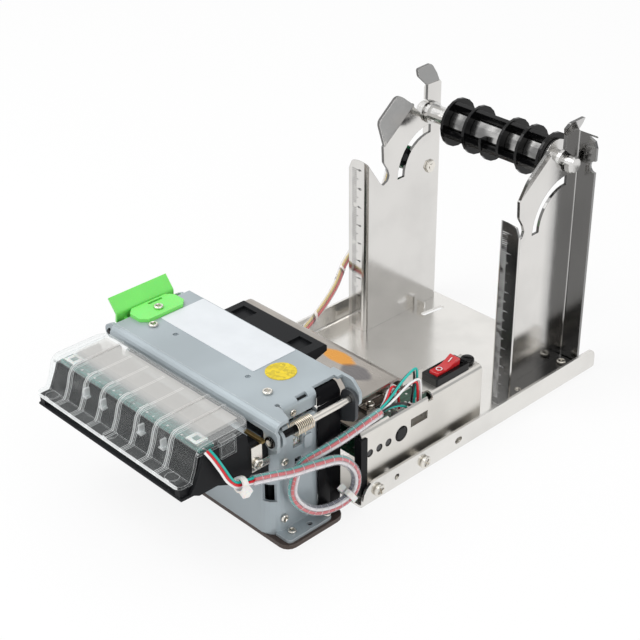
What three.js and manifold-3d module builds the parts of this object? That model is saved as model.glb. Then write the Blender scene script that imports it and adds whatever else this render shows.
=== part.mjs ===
// Kiosk receipt printer: a tray with two roll uprights at the rear, a control box, and a
// printing head unit with a hinged cover and a clear paper bezel at the front.
// Millimetres, +Z up. The front of the printer faces -Y and the roll is at +Y.
import * as THREE from 'three'
import { mergeVertices } from 'three/addons/utils/BufferGeometryUtils.js'
import Module from 'manifold-3d'

const wasm = await Module()
wasm.setup()

// Driving sizes
const GAP = 0.3
const LENGTH_SHIFT = 16.2

const TRAY_WIDTH = 121.4
const TRAY_SHEET = 1.2
const TRAY_FRONT = -53.3
const TRAY_REAR = 108.5
const SKIRT_HEIGHT = 12

const UPRIGHT_INSIDE = 84
const UPRIGHT_SHEET = 1.5
const UPRIGHT_FRONT = 51
const UPRIGHT_DEPTH = 54.5
const UPRIGHT_SETBACK = 7.2
const UPRIGHT_FLANGE = (TRAY_WIDTH - UPRIGHT_INSIDE) / 2 - UPRIGHT_SETBACK
const RULER_HEIGHT = 96.5
const REAR_FLANGE_HEIGHT = 121.7

const SHAFT_Y = 97
const SHAFT_Z = 109.5
const SHAFT_NECK_RADIUS = 3.2
const HUB_LENGTH = 60
const HUB_RADIUS = 12.2
const HUB_TUBE_RADIUS = 7.5

const PLATEN_Y = -76
const PLATEN_Z = 48
const PLATEN_RADIUS = 6
const PLATEN_LENGTH = 80
const PLATEN_SHAFT_RADIUS = 2.5
const CHEEK_SHEET = 1.5
const CHEEK_INSIDE = PLATEN_LENGTH / 2 + 2.5
const GEAR_MODULE = 1
const GEAR_WIDTH = 2.5
const GEAR_CLEARANCE = 1
const GEAR_FACE = CHEEK_INSIDE + CHEEK_SHEET + GEAR_CLEARANCE

const FRAME_SHEET = 1.5
const FRAME_WIDTH = 2 * (GEAR_FACE + GEAR_WIDTH + GEAR_CLEARANCE + FRAME_SHEET)
const FRAME_FRONT = -96
const FRAME_REAR = -64
const FRAME_WALL_TOP = 50
const FRAME_SIDE_TOP = 55

const PLATE_WIDTH = FRAME_WIDTH + 18
const PLATE_FRONT = -96
const PLATE_REAR = -62
const PLATE_THICK = 2

const COVER_TOP = 64.3
const COVER_SHEET = 1.5
const COVER_LEFT = -FRAME_WIDTH / 2 - 0.5
const COVER_RIGHT = FRAME_WIDTH / 2 - 0.8
const COVER_FRONT = -99.5
const COVER_REAR = -54.3
const COVER_SKIRT_BOTTOM = FRAME_SIDE_TOP + 1.6

const HINGE_X = FRAME_WIDTH / 2 + 4.7
const HINGE_Z = 55.7
const HINGE_SHAFT_RADIUS = 1.5
const LATCH_X = -FRAME_WIDTH / 2 - 3.7
const LATCH_Z = 59.4
const LATCH_PIN_RADIUS = 1.2

const BOX_SIDE = TRAY_WIDTH / 2 - 3.7
const BOX_SHEET = 1.2
const BOX_TOP = 36.9
const BOX_FRONT = -50.7
const BOX_REAR = 26.5

const BRIDGE_TOP = 47
const BRIDGE_SHEET = 1.2
const BRIDGE_REAR = -17
const BRIDGE_FRONT = -53.5

const HOOD_WIDTH = 96
const HOOD_SHEET = 1.5
const HOOD_TOP = 64.8
const HOOD_REAR = -104
const LIP_FRONT = -141.6
const LIP_TOP = 51

// Shape helpers

// Turns a list of corners [u, v, radius] into a smooth closed list of points.
function roundCorners(corners, steps = 4) {
  const points = []
  const count = corners.length
  corners.forEach((corner, i) => {
    const here = new THREE.Vector2(corner[0], corner[1])
    const radius = corner[2] ?? 0
    if (radius === 0) {
      points.push(here)
      return
    }
    const last = corners[(i + count - 1) % count]
    const next = corners[(i + 1) % count]
    const back = new THREE.Vector2(last[0], last[1]).sub(here).normalize()
    const ahead = new THREE.Vector2(next[0], next[1]).sub(here).normalize()
    const half = Math.acos(THREE.MathUtils.clamp(back.dot(ahead), -1, 1)) / 2
    const reach = radius / Math.tan(half)
    const middle = back.clone().add(ahead).normalize().multiplyScalar(radius / Math.sin(half)).add(here)
    const start = back.multiplyScalar(reach).add(here).sub(middle)
    const end = ahead.multiplyScalar(reach).add(here).sub(middle)
    const turn = Math.atan2(start.cross(end), start.dot(end))
    for (let k = 0; k <= steps; k += 1) {
      points.push(start.clone().rotateAround(new THREE.Vector2(), turn * k / steps).add(middle))
    }
  })
  return points
}

// A bent sheet seen from its edge: a path of [u, v, bend radius] given one thickness, which can
// be made over or under that thickness on either face.
function sheetOutline(path, thickness, steps = 4, over = 0, under = 0) {
  const centre = []
  path.forEach((corner, i) => {
    const here = new THREE.Vector2(corner[0], corner[1])
    if (i === 0 || i === path.length - 1) {
      const other = i === 0 ? path[1] : path[i - 1]
      const along = new THREE.Vector2(other[0], other[1]).sub(here).normalize()
      if (i > 0) along.negate()
      centre.push({ point: here, normal: new THREE.Vector2(-along.y, along.x) })
      return
    }
    const back = new THREE.Vector2(path[i - 1][0], path[i - 1][1]).sub(here).normalize()
    const ahead = new THREE.Vector2(path[i + 1][0], path[i + 1][1]).sub(here).normalize()
    const radius = corner[2] ?? thickness
    const half = Math.acos(THREE.MathUtils.clamp(back.dot(ahead), -1, 1)) / 2
    const reach = radius / Math.tan(half)
    const middle = back.clone().add(ahead).normalize().multiplyScalar(radius / Math.sin(half)).add(here)
    const start = back.clone().multiplyScalar(reach).add(here).sub(middle)
    const end = ahead.clone().multiplyScalar(reach).add(here).sub(middle)
    const turn = Math.atan2(start.cross(end), start.dot(end))
    for (let k = 0; k <= steps; k += 1) {
      const spoke = start.clone().rotateAround(new THREE.Vector2(), turn * k / steps)
      const outward = spoke.clone().normalize().multiplyScalar(turn > 0 ? -1 : 1)
      centre.push({ point: spoke.add(middle), normal: outward })
    }
  })
  const left = centre.map(c => c.point.clone().addScaledVector(c.normal, thickness / 2 + over))
  const right = centre.map(c => c.point.clone().addScaledVector(c.normal, -thickness / 2 - under))
  return left.concat(right.reverse())
}

function circle(u, v, radius, sides = 16) {
  const points = []
  for (let i = 0; i < sides; i += 1) {
    const angle = 2 * Math.PI * i / sides
    points.push(new THREE.Vector2(u + radius * Math.cos(angle), v + radius * Math.sin(angle)))
  }
  return points
}

function slot(u0, v0, u1, v1, width, steps = 5) {
  const along = new THREE.Vector2(u1 - u0, v1 - v0).normalize()
  const across = new THREE.Vector2(-along.y, along.x).multiplyScalar(width / 2)
  const points = []
  for (let k = 0; k <= steps; k += 1) {
    const spoke = across.clone().negate().rotateAround(new THREE.Vector2(), Math.PI * k / steps)
    points.push(spoke.add(new THREE.Vector2(u1, v1)))
  }
  for (let k = 0; k <= steps; k += 1) {
    const spoke = across.clone().rotateAround(new THREE.Vector2(), Math.PI * k / steps)
    points.push(spoke.add(new THREE.Vector2(u0, v0)))
  }
  return points
}

const asPoints = outline => (Array.isArray(outline[0]) ? roundCorners(outline) : outline)

function extrude(outline, depth, holes = []) {
  const shape = new THREE.Shape(asPoints(outline))
  holes.forEach(hole => shape.holes.push(new THREE.Path(asPoints(hole))))
  return new THREE.ExtrudeGeometry(shape, { depth, bevelEnabled: false, curveSegments: 1 })
}

// Outline in X and Y, raised from z0 to z1.
function alongZ(outline, z0, z1, holes) {
  return extrude(outline, z1 - z0, holes).translate(0, 0, z0)
}

// Outline in Y and Z, carried from x0 to x1.
function alongX(outline, x0, x1, holes) {
  const turn = new THREE.Matrix4().set(0, 0, 1, x0, 1, 0, 0, 0, 0, 1, 0, 0, 0, 0, 0, 1)
  return extrude(outline, x1 - x0, holes).applyMatrix4(turn)
}

// Outline in X and Z, carried from y0 to y1.
function alongY(outline, y0, y1, holes) {
  const turn = new THREE.Matrix4().set(1, 0, 0, 0, 0, 0, -1, y1, 0, 1, 0, 0, 0, 0, 0, 1)
  return extrude(outline, y1 - y0, holes).applyMatrix4(turn)
}

function box(x0, x1, y0, y1, z0, z1) {
  const geometry = new THREE.BoxGeometry(x1 - x0, y1 - y0, z1 - z0)
  return geometry.translate((x0 + x1) / 2, (y0 + y1) / 2, (z0 + z1) / 2)
}

const rectangle = (u0, u1, v0, v1, radius = 0) => [
  [u0, v0, radius], [u1, v0, radius], [u1, v1, radius], [u0, v1, radius]
]

// A turned piece along X about (y, z), from a profile of [radius, x] that starts and ends
// on the axis or closes on itself.
function turnedX(profile, y, z, sides = 24) {
  const points = profile.map(([radius, x]) => new THREE.Vector2(radius, x))
  const geometry = new THREE.LatheGeometry(points, sides)
  const turn = new THREE.Matrix4().set(0, 1, 0, 0, 0, 0, 1, y, 1, 0, 0, z, 0, 0, 0, 1)
  return geometry.applyMatrix4(turn)
}

function turnedZ(profile, x, y, sides = 20) {
  const points = profile.map(([radius, z]) => new THREE.Vector2(radius, z))
  const geometry = new THREE.LatheGeometry(points, sides)
  const turn = new THREE.Matrix4().set(0, 0, 1, x, 1, 0, 0, y, 0, 1, 0, 0, 0, 0, 0, 1)
  return geometry.applyMatrix4(turn)
}

const rodX = (radius, x0, x1, y, z, sides = 16) => alongX(circle(y, z, radius, sides), x0, x1)
const rodY = (radius, y0, y1, x, z, sides = 16) => alongY(circle(x, z, radius, sides), y0, y1)
const rodZ = (radius, z0, z1, x, y, sides = 16) => alongZ(circle(x, y, radius, sides), z0, z1)

// A flat plate given by its corners in space, thickened along one direction.
function slab(corners, thickness) {
  const count = corners.length
  const near = corners.map(c => new THREE.Vector3(...c))
  const far = near.map(c => c.clone().add(thickness))
  const positions = []
  const push = (a, b, c) => positions.push(...a.toArray(), ...b.toArray(), ...c.toArray())
  const normal = near[1].clone().sub(near[0]).cross(near[2].clone().sub(near[1]))
  const flip = normal.dot(thickness) > 0
  for (let i = 1; i + 1 < count; i += 1) {
    if (flip) {
      push(near[0], near[i + 1], near[i])
      push(far[0], far[i], far[i + 1])
    } else {
      push(near[0], near[i], near[i + 1])
      push(far[0], far[i + 1], far[i])
    }
  }
  for (let i = 0; i < count; i += 1) {
    const j = (i + 1) % count
    if (flip) {
      push(near[i], near[j], far[j])
      push(near[i], far[j], far[i])
    } else {
      push(near[i], far[j], near[j])
      push(near[i], far[i], far[j])
    }
  }
  const geometry = new THREE.BufferGeometry()
  geometry.setAttribute('position', new THREE.Float32BufferAttribute(positions, 3))
  return geometry
}

// A round cord or wire along a list of points.
function cord(points, radius, sides = 8, steps = 40, tension = 0.5) {
  const curve = new THREE.CatmullRomCurve3(
    points.map(p => new THREE.Vector3(...p)), false, 'catmullrom', tension
  )
  const shape = new THREE.Shape(circle(0, 0, radius, sides))
  return new THREE.ExtrudeGeometry(shape, { steps, extrudePath: curve, curveSegments: 1 })
}

function toSolid(geometry) {
  const bare = new THREE.BufferGeometry()
  bare.setAttribute('position', geometry.getAttribute('position').clone())
  if (geometry.index) bare.setIndex(geometry.index.clone())
  const merged = mergeVertices(bare, 1e-4)
  return new wasm.Manifold(new wasm.Mesh({
    numProp: 3,
    vertProperties: new Float32Array(merged.getAttribute('position').array),
    triVerts: new Uint32Array(merged.index.array)
  }))
}

function toGeometry(solid) {
  const mesh = solid.getMesh()
  const geometry = new THREE.BufferGeometry()
  geometry.setAttribute('position', new THREE.BufferAttribute(new Float32Array(mesh.vertProperties), 3))
  geometry.setIndex(new THREE.BufferAttribute(new Uint32Array(mesh.triVerts), 1))
  return geometry
}

const asSolid = item => (item instanceof THREE.BufferGeometry ? toSolid(item) : item)
const join = (...items) => items.map(asSolid).reduce((sum, item) => sum.add(item))
const cut = (from, ...tools) => tools.map(asSolid).reduce(
  (left, tool) => left.subtract(tool), asSolid(from)
)
const common = (a, b) => asSolid(a).intersect(asSolid(b))
const mirrored = geometry => {
  const solid = asSolid(geometry)
  return solid.mirror([1, 0, 0])
}

const group = new THREE.Group()
group.position.y = LENGTH_SHIFT

function add(name, item, color, roughness, metalness = 0) {
  const geometry = item instanceof THREE.BufferGeometry ? item : toGeometry(item)
  geometry.computeVertexNormals()
  const material = new THREE.MeshStandardMaterial({ color, roughness, metalness })
  const mesh = new THREE.Mesh(geometry, material)
  mesh.name = name
  group.add(mesh)
}

const STEEL = 0xc9c6c2
const BLUE_GREY = 0x9aa6ac
const BLACK = 0x26262a

// Tray and base plate
const trayHalf = TRAY_WIDTH / 2
const traySkin = trayHalf - TRAY_SHEET / 2
const screwHeights = 6.3
const skirtScrews = [-44.3, -15]
const SKIRT_SCREW_HOLE = 1.8

const trayFloor = alongY(sheetOutline([
  [-traySkin, 3], [-traySkin, TRAY_SHEET / 2, 1.9], [traySkin, TRAY_SHEET / 2, 1.9], [traySkin, 3]
], TRAY_SHEET), TRAY_FRONT, TRAY_REAR)
const skirt = alongX([
  [TRAY_FRONT, 2.6], [TRAY_REAR, 2.6], [TRAY_REAR, SKIRT_HEIGHT, 4.5], [TRAY_FRONT, SKIRT_HEIGHT, 8]
], trayHalf - TRAY_SHEET, trayHalf, [
  circle(-32.4, 6.9, 1.5, 12), slot(7.1, 6.4, 8.8, 6.4, 3),
  ...skirtScrews.map(y => circle(y, screwHeights, SKIRT_SCREW_HOLE, 12))
])
const trayTongue = box(-45, 45, PLATE_REAR, TRAY_FRONT + 2, 0, TRAY_SHEET)
const floorSlot = alongZ(slot(-33.2, 86.5, -31.6, 98.2, 3), -1, TRAY_SHEET + 1)
const floorTab = box(-40.5, -35.5, 89, 90.2, TRAY_SHEET / 2, 6)
const tray = join(cut(join(trayFloor, trayTongue), floorSlot), floorTab, skirt, mirrored(skirt))
add('base_tray', tray, STEEL, 0.28, 1)

const plateHalf = PLATE_WIDTH / 2
add('base_plate', alongZ(rectangle(-plateHalf, plateHalf, PLATE_FRONT, PLATE_REAR, 5), 0, PLATE_THICK),
  0x4a3c36, 0.5, 0.6)

const strapFront = FRAME_REAR + GAP
add('floor_strap', alongX([
  [strapFront, PLATE_THICK], [PLATE_REAR, PLATE_THICK], [PLATE_REAR, TRAY_SHEET], [-51.3, TRAY_SHEET],
  [-51.3, 2.7], [PLATE_REAR + 1.2, 2.7], [PLATE_REAR + 0.4, 3.4], [strapFront, 3.4]
], -44, 44), BLACK, 0.5, 0.4)

// Roll uprights
const SEAT_RADIUS = 3.6
const SLOT_TURN = THREE.MathUtils.degToRad(138.8)
const slotAlong = new THREE.Vector2(Math.cos(SLOT_TURN), Math.sin(SLOT_TURN))
const slotAcross = new THREE.Vector2(-slotAlong.y, slotAlong.x).multiplyScalar(SEAT_RADIUS)
const seat = new THREE.Vector2(SHAFT_Y, SHAFT_Z)
const lowerEdge = distance => seat.clone().add(slotAcross).addScaledVector(slotAlong, distance)
const upperEdge = distance => seat.clone().sub(slotAcross).addScaledVector(slotAlong, distance)
const seatArc = []
for (let k = 0; k <= 8; k += 1) {
  const spoke = slotAcross.clone().rotateAround(new THREE.Vector2(), Math.PI * k / 8)
  seatArc.push(spoke.add(seat))
}

const uprightRear = UPRIGHT_FRONT + UPRIGHT_DEPTH
const plateInside = UPRIGHT_INSIDE / 2
const plateMiddle = plateInside + UPRIGHT_SHEET / 2
const flangeEdge = plateInside + UPRIGHT_FLANGE
const floorTop = TRAY_SHEET
const SENSOR_PIVOT_Y = 97
const SENSOR_PIVOT_Z = 80.2
const SENSOR_SLOT_INNER = 18.5
const SENSOR_SLOT_OUTER = 23.4

const lobe = [[61.1, 82.5], [63.3, 80.2, 1.2], [66.8, 81.7, 1.2], [67.8, 84.4, 1.5], [66.7, 87.7, 3]]
const earFoot = [63.6, 101.3]
const earHead = [84.3, 117.4]
const slotMouth = lowerEdge(13.5)
const tabCorner = upperEdge(7)
const uprightOutline = roundCorners([
  [uprightRear, floorTop], [uprightRear, REAR_FLANGE_HEIGHT], [104.4, 123.2, 1], [102.8, 124.8],
  [tabCorner.x, 124.8], [tabCorner.x, tabCorner.y]
]).concat(seatArc.reverse(), [slotMouth, new THREE.Vector2(...earHead), new THREE.Vector2(...earFoot)],
  roundCorners([
    [63.2, 100.8], [63.7, 92.4, 2], ...lobe.reverse(), [52.6, RULER_HEIGHT - 1.7],
    [UPRIGHT_FRONT, RULER_HEIGHT],
    [UPRIGHT_FRONT, floorTop]
  ], 3))

const sensorSlot = []
for (let k = 0; k <= 10; k += 1) {
  const angle = THREE.MathUtils.degToRad(90 + 90 * k / 10)
  sensorSlot.push(new THREE.Vector2(SENSOR_PIVOT_Y + SENSOR_SLOT_OUTER * Math.cos(angle),
    SENSOR_PIVOT_Z + SENSOR_SLOT_OUTER * Math.sin(angle)))
}
for (let k = 10; k >= 0; k -= 1) {
  const angle = THREE.MathUtils.degToRad(90 + 90 * k / 10)
  sensorSlot.push(new THREE.Vector2(SENSOR_PIVOT_Y + SENSOR_SLOT_INNER * Math.cos(angle),
    SENSOR_PIVOT_Z + SENSOR_SLOT_INNER * Math.sin(angle)))
}

const channel = alongZ(sheetOutline([
  [flangeEdge, UPRIGHT_FRONT + UPRIGHT_SHEET / 2], [plateMiddle, UPRIGHT_FRONT + UPRIGHT_SHEET / 2, 1.6],
  [plateMiddle, uprightRear - UPRIGHT_SHEET / 2, 1.6], [flangeEdge, uprightRear - UPRIGHT_SHEET / 2]
], UPRIGHT_SHEET, 3), floorTop, 130)
const silhouette = alongX(uprightOutline, plateInside - 1, flangeEdge + 1, [sensorSlot])
const rulerShoulder = plateInside + UPRIGHT_FLANGE * 0.43
const rulerCorner = alongY([
  [flangeEdge + 1, RULER_HEIGHT - 8.5], [flangeEdge + 1, RULER_HEIGHT + 1],
  [rulerShoulder, RULER_HEIGHT + 1],
  [rulerShoulder, RULER_HEIGHT], [flangeEdge - 2, RULER_HEIGHT - 1.2, 2],
  [flangeEdge, RULER_HEIGHT - 6, 2],
  [flangeEdge, RULER_HEIGHT - 8.5]
], UPRIGHT_FRONT - 1, UPRIGHT_FRONT + 3)
const rearCorner = alongY([
  [flangeEdge + 1, REAR_FLANGE_HEIGHT - 4.3], [flangeEdge + 1, REAR_FLANGE_HEIGHT + 1],
  [flangeEdge - 4.3, REAR_FLANGE_HEIGHT + 1], [flangeEdge - 4.3, REAR_FLANGE_HEIGHT],
  [flangeEdge - 1.2, REAR_FLANGE_HEIGHT - 1.2], [flangeEdge, REAR_FLANGE_HEIGHT - 4.3]
], uprightRear - 3, uprightRear + 1)
const rearNotch = alongY(circle(flangeEdge, 108, 3, 14), uprightRear - 3, uprightRear + 1)
const footMiddle = plateInside + UPRIGHT_FLANGE * 0.6
const foot = alongZ([
  [plateInside, UPRIGHT_FRONT + 2], [flangeEdge + 0.5, UPRIGHT_FRONT + 2, 2],
  [flangeEdge + 0.5, uprightRear - 2, 2], [plateInside, uprightRear - 2]
], floorTop, floorTop + UPRIGHT_SHEET, [
  circle(footMiddle, 64.2, 1.8, 12), circle(footMiddle + 1, 56.4, 1, 8), circle(footMiddle, 97.9, 1.6, 12)
])

const sheetAcross = new THREE.Vector3(UPRIGHT_SHEET, 0, 0)
const earLean = 0.467
const earNormal = new THREE.Vector2(earFoot[1] - earHead[1], earHead[0] - earFoot[0]).normalize()
const onEar = ([y, z]) => {
  const rise = (y - earFoot[0]) * earNormal.x + (z - earFoot[1]) * earNormal.y
  return [plateInside + Math.max(rise, -1) * earLean, y, z]
}
const ear = slab(roundCorners([
  [earFoot[0] + 0.3, earFoot[1] - 0.4], [63.7, 112.2, 4.5], [77.5, 123.2, 3.5],
  [earHead[0], earHead[1] - 0.6]
], 5).map(p => onEar([p.x, p.y])), sheetAcross)
const onTab = ([y, z]) => [plateInside + (z - 124.2) * 0.54, y, z]
const tab = slab(roundCorners([
  [tabCorner.x, 124.2], [102.8, 124.2], [102.8, 128, 1.8], [101.4, 132.6, 2], [91.2, 132.2, 1.5],
  [90.2, 129, 1.4],
  [92.4, 126.2]
]).map(p => onTab([p.x, p.y])), sheetAcross)

const sensorStud = circle(SENSOR_PIVOT_Y, SENSOR_PIVOT_Z, 3.4, 6)
const rightUpright = join(
  cut(common(channel, silhouette), rulerCorner, rearCorner, rearNotch), foot, ear, tab
)
add('right_upright', rightUpright, STEEL, 0.2, 1)
const studHole = alongX(circle(SENSOR_PIVOT_Y, SENSOR_PIVOT_Z, 2.2, 12), -plateInside - 3, -plateInside + 1)
add('left_upright', cut(mirrored(rightUpright), studHole), STEEL, 0.2, 1)

// Near-end sensor
const SENSOR_ARM_FACE = -plateInside - UPRIGHT_SHEET - GAP
const SENSOR_ARM_THICK = 2
const sensorRadius = (SENSOR_SLOT_INNER + SENSOR_SLOT_OUTER) / 2
const SENSOR_REST = THREE.MathUtils.degToRad(150)
const sensorStudY = SENSOR_PIVOT_Y + sensorRadius * Math.cos(SENSOR_REST)
const sensorStudZ = SENSOR_PIVOT_Z + sensorRadius * Math.sin(SENSOR_REST)
const sensorArm = alongX(slot(SENSOR_PIVOT_Y, SENSOR_PIVOT_Z, sensorStudY, sensorStudZ, 9),
  SENSOR_ARM_FACE - SENSOR_ARM_THICK, SENSOR_ARM_FACE)
const pivotStud = rodX(1.9, SENSOR_ARM_FACE - 1, -plateInside, SENSOR_PIVOT_Y, SENSOR_PIVOT_Z, 12)
const slotStud = rodX(2, SENSOR_ARM_FACE - 1, -plateInside, sensorStudY, sensorStudZ, 12)
const hexHead = alongX(sensorStud, -plateInside + GAP, -plateInside + 1.2)
const pivotNeck = rodX(1.9, -plateInside - 1, -plateInside + 0.6, SENSOR_PIVOT_Y, SENSOR_PIVOT_Z, 12)
add('sensor_bracket', join(sensorArm, pivotStud, pivotNeck, slotStud, hexHead), 0x3c3c3e, 0.5)
const boardBack = SENSOR_ARM_FACE - SENSOR_ARM_THICK
add('sensor_board', join(
  alongX(slot(92, 83, sensorStudY + 1, sensorStudZ - 0.5, 12), boardBack - 1.6, boardBack),
  box(boardBack - 5, boardBack - 1, 80, 87, 83.5, 89)
), 0x1f6b46, 0.45)

// Spindle and hub
const hubLeft = -25
const hubRight = hubLeft + HUB_LENGTH
const plateOutside = plateInside + UPRIGHT_SHEET
const journal = 0.4
add('spindle_shaft', turnedX([
  [0, -49], [3.4, -49], [4.3, -48], [4.3, -plateOutside - 1], [SHAFT_NECK_RADIUS, -plateOutside - 1],
  [SHAFT_NECK_RADIUS, -plateInside + journal], [5.75, -plateInside + journal], [5.75, -39.8],
  [4.5, -39.8],
  [4.5, hubLeft - 2], [HUB_TUBE_RADIUS, hubLeft - 2], [HUB_TUBE_RADIUS, hubRight + GAP],
  [9.5, hubRight + GAP], [9.5, hubRight + 1.5], [4.5, hubRight + 1.5], [4.5, 39.8], [5.75, 39.8],
  [5.75, plateInside - journal], [SHAFT_NECK_RADIUS, plateInside - journal],
  [SHAFT_NECK_RADIUS, plateOutside + 1], [4.3, plateOutside + 1], [4.3, 47], [3.4, 48], [0, 48]
], SHAFT_Y, SHAFT_Z, 18), 0xb9b9bb, 0.3, 1)

const HUB_BORE = HUB_TUBE_RADIUS + GAP
const HUB_BAR_RADIUS = HUB_RADIUS - 0.5
const HUB_BARS = 4
const HUB_BAR_TURN = THREE.MathUtils.degToRad(16.3)
const ringAt = (x, radius) => turnedX([
  [HUB_BORE, x], [radius, x], [radius, x + 1.5], [HUB_BORE, x + 1.5], [HUB_BORE, x]
], SHAFT_Y, SHAFT_Z, 20)
const hubBars = []
for (let i = 0; i < HUB_BARS; i += 1) {
  const bar = box(hubLeft, hubRight, -1.1, 1.1, HUB_BORE + 0.15, HUB_BAR_RADIUS)
  bar.rotateX(HUB_BAR_TURN + Math.PI * 2 * i / HUB_BARS)
  hubBars.push(bar.translate(0, SHAFT_Y, SHAFT_Z))
}
const hubRings = [hubLeft, -11.5, 21, hubRight - 1.5].map(x => ringAt(x, HUB_RADIUS))
const halfSpace = up => box(
  -60, 60, SHAFT_Y - 20, SHAFT_Y + 20, SHAFT_Z + (up ? -2 : -20), SHAFT_Z + (up ? 20 : 2)
)
const lowRing = common(ringAt(-0.7, HUB_RADIUS), halfSpace(false))
const highRing = common(ringAt(10, HUB_RADIUS), halfSpace(true))
add('spindle_hub', join(...hubRings, ...hubBars, lowRing, highRing), 0x2b2b2e, 0.45)

// Control box
const boxSkin = BOX_SIDE - BOX_SHEET / 2
const boxTopSkin = BOX_TOP - BOX_SHEET / 2
const ROCKER_CENTRE_X = BOX_SIDE - 6.5
const ROCKER_CENTRE_Y = 8.75
const boxSheet = alongY(sheetOutline([
  [BOX_SIDE - 27, floorTop + BOX_SHEET / 2], [boxSkin, floorTop + BOX_SHEET / 2, 1.5],
  [boxSkin, boxTopSkin, 2.2],
  [BOX_SIDE - 17, boxTopSkin]
], BOX_SHEET), BOX_FRONT, BOX_REAR)
const PORT_FRONT = -20.3
const PORT_REAR = -9.6
const PORT_LOW = 25.2
const PORT_HIGH = 29.4
const ledHoles = [-45.7, -39.9, -34.3]
const LED_Z = 24.2
const BUTTON_Y = -26.2
const BUTTON_Z = 24.9
const BUTTON_INNER = BOX_SIDE - 6.6
const boxHoles = [
  box(BOX_SIDE - 13, BOX_SIDE - 0.9, -33, -9, BOX_TOP - 3, BOX_TOP + 1),
  box(BOX_SIDE - 3.6, BOX_SIDE + 1, -9.4, -6.4, BOX_TOP - 3.4, BOX_TOP + 1),
  box(ROCKER_CENTRE_X - 3.6, ROCKER_CENTRE_X + 3.6, -0.4, 17.9, BOX_TOP - 3, BOX_TOP + 1),
  box(BOX_SIDE - 18, BOX_SIDE - 13, 5, BOX_REAR + 1, BOX_TOP - 2, BOX_TOP + 1),
  alongX(circle(BUTTON_Y, BUTTON_Z, 3.8, 20), BOX_SIDE - 3, BOX_SIDE + 1),
  alongX(rectangle(PORT_FRONT, PORT_REAR, PORT_LOW, PORT_HIGH), BOX_SIDE - 3, BOX_SIDE + 1),
  ...ledHoles.map(y => alongX(circle(y, LED_Z, 1.9, 14), BOX_SIDE - 3, BOX_SIDE + 1))
]
const nutBosses = skirtScrews.map(y => rodX(3, BOX_SIDE - 0.5, trayHalf - TRAY_SHEET, y, screwHeights, 12))
const nutHoles = skirtScrews.map(y => rodX(SKIRT_SCREW_HOLE, BOX_SIDE - 3, trayHalf, y, screwHeights, 12))
add('control_box', cut(join(boxSheet, ...nutBosses), ...boxHoles, ...nutHoles), 0xd4d1cc, 0.35, 0.9)

const BOARD_Z = 19.5
const boardPosts = [[23, -45], [23, 22], [5, -42.8], [5, 22]].map(
  ([inward, y]) => rodZ(2, floorTop + BOX_SHEET, BOARD_Z + 0.5, BOX_SIDE - inward, y, 10)
)
const connectorFace = BOX_SIDE - BOX_SHEET - GAP
const boardEdge = BOX_SIDE - 2.4
const connector = cut(
  box(BOX_SIDE - 8, connectorFace, PORT_FRONT - 0.9, PORT_REAR + 0.9, BOARD_Z + 1, PORT_HIGH + 0.5),
  box(BOX_SIDE - 5.8, connectorFace + 1, PORT_FRONT, PORT_REAR, PORT_LOW - 0.1, PORT_HIGH + 0.1)
)
add('control_board', join(
  box(BOX_SIDE - 26, boardEdge, -47.8, 25, BOARD_Z, BOARD_Z + 1.6), ...boardPosts,
  connector,
  box(BUTTON_INNER - 6.4, BUTTON_INNER - 1.8, -29.5, -23, BOARD_Z + 1, 28),
  ...ledHoles.map(y => box(BOX_SIDE - 8, BOX_SIDE - 3, y - 1.5, y + 1.5, BOARD_Z + 1, LED_Z + 1.5)),
  ...ledHoles.map(y => rodX(1.5, BOX_SIDE - 4, BOX_SIDE - 0.4, y, LED_Z, 8)),
  box(BOX_SIDE - 24, BOX_SIDE - 16, -40, -20, BOARD_Z + 1, 30),
  box(BOX_SIDE - 6.5, BOX_SIDE - 2.5, -8.9, 18, BOARD_Z + 1, 24)
), 0x1e5b3f, 0.5)

add('feed_button', turnedX([
  [0, BUTTON_INNER], [3.4, BUTTON_INNER], [3.4, BOX_SIDE - 0.2], [2.8, BOX_SIDE + 0.3],
  [0, BOX_SIDE + 0.3]
], BUTTON_Y, BUTTON_Z, 18), 0x1d1d1f, 0.35)

const edgeTrim = cut(
  box(BOX_SIDE - 2.9, BOX_SIDE + 1.1, BOX_FRONT - 1.4, BOX_FRONT + 2.4, 4.5, 33.8),
  box(BOX_SIDE - BOX_SHEET - 0.03, BOX_SIDE + 0.03, BOX_FRONT - 0.02, BOX_FRONT + 3, 0, 40)
)
add('box_edge_trim', edgeTrim, BLACK, 0.6)

// Rocker switch
const ROCKER_Z = 38.2
const ROCKER_TILT = THREE.MathUtils.degToRad(12)
const ROCKER_HALF = 7.6
const BEZEL_TOP = 40.5
add('rocker_switch_body', cut(
  join(
    alongZ(rectangle(ROCKER_CENTRE_X - 4.7, ROCKER_CENTRE_X + 4.7, -2, 19.5, 0.6), BOX_TOP, BEZEL_TOP),
    box(ROCKER_CENTRE_X - 3.3, ROCKER_CENTRE_X + 3.3, 0, 17.5, 25.5, BOX_TOP + 1)
  ),
  box(
    ROCKER_CENTRE_X - 2.8, ROCKER_CENTRE_X + 2.8, ROCKER_CENTRE_Y - 8.6, ROCKER_CENTRE_Y + 8.6,
    33.6, BEZEL_TOP + 1
  )
), 0x17171a, 0.3)
const rockerSide = roundCorners([
  [-ROCKER_HALF, 3.6, 0.4], [-ROCKER_HALF + 0.8, 4.8, 0.6], [0, 3.1, 10], [ROCKER_HALF - 0.8, 4.8, 0.6],
  [ROCKER_HALF, 3.6, 0.4], [6, -1.6, 1], [0, -3.2, 3], [-6, -1.6, 1]
], 3).map(p => p.rotateAround(new THREE.Vector2(), ROCKER_TILT).add(
  new THREE.Vector2(ROCKER_CENTRE_Y, ROCKER_Z)
))
add('rocker', alongX(rockerSide, ROCKER_CENTRE_X - 2.5, ROCKER_CENTRE_X + 2.5), 0xc8282c, 0.3)

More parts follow.
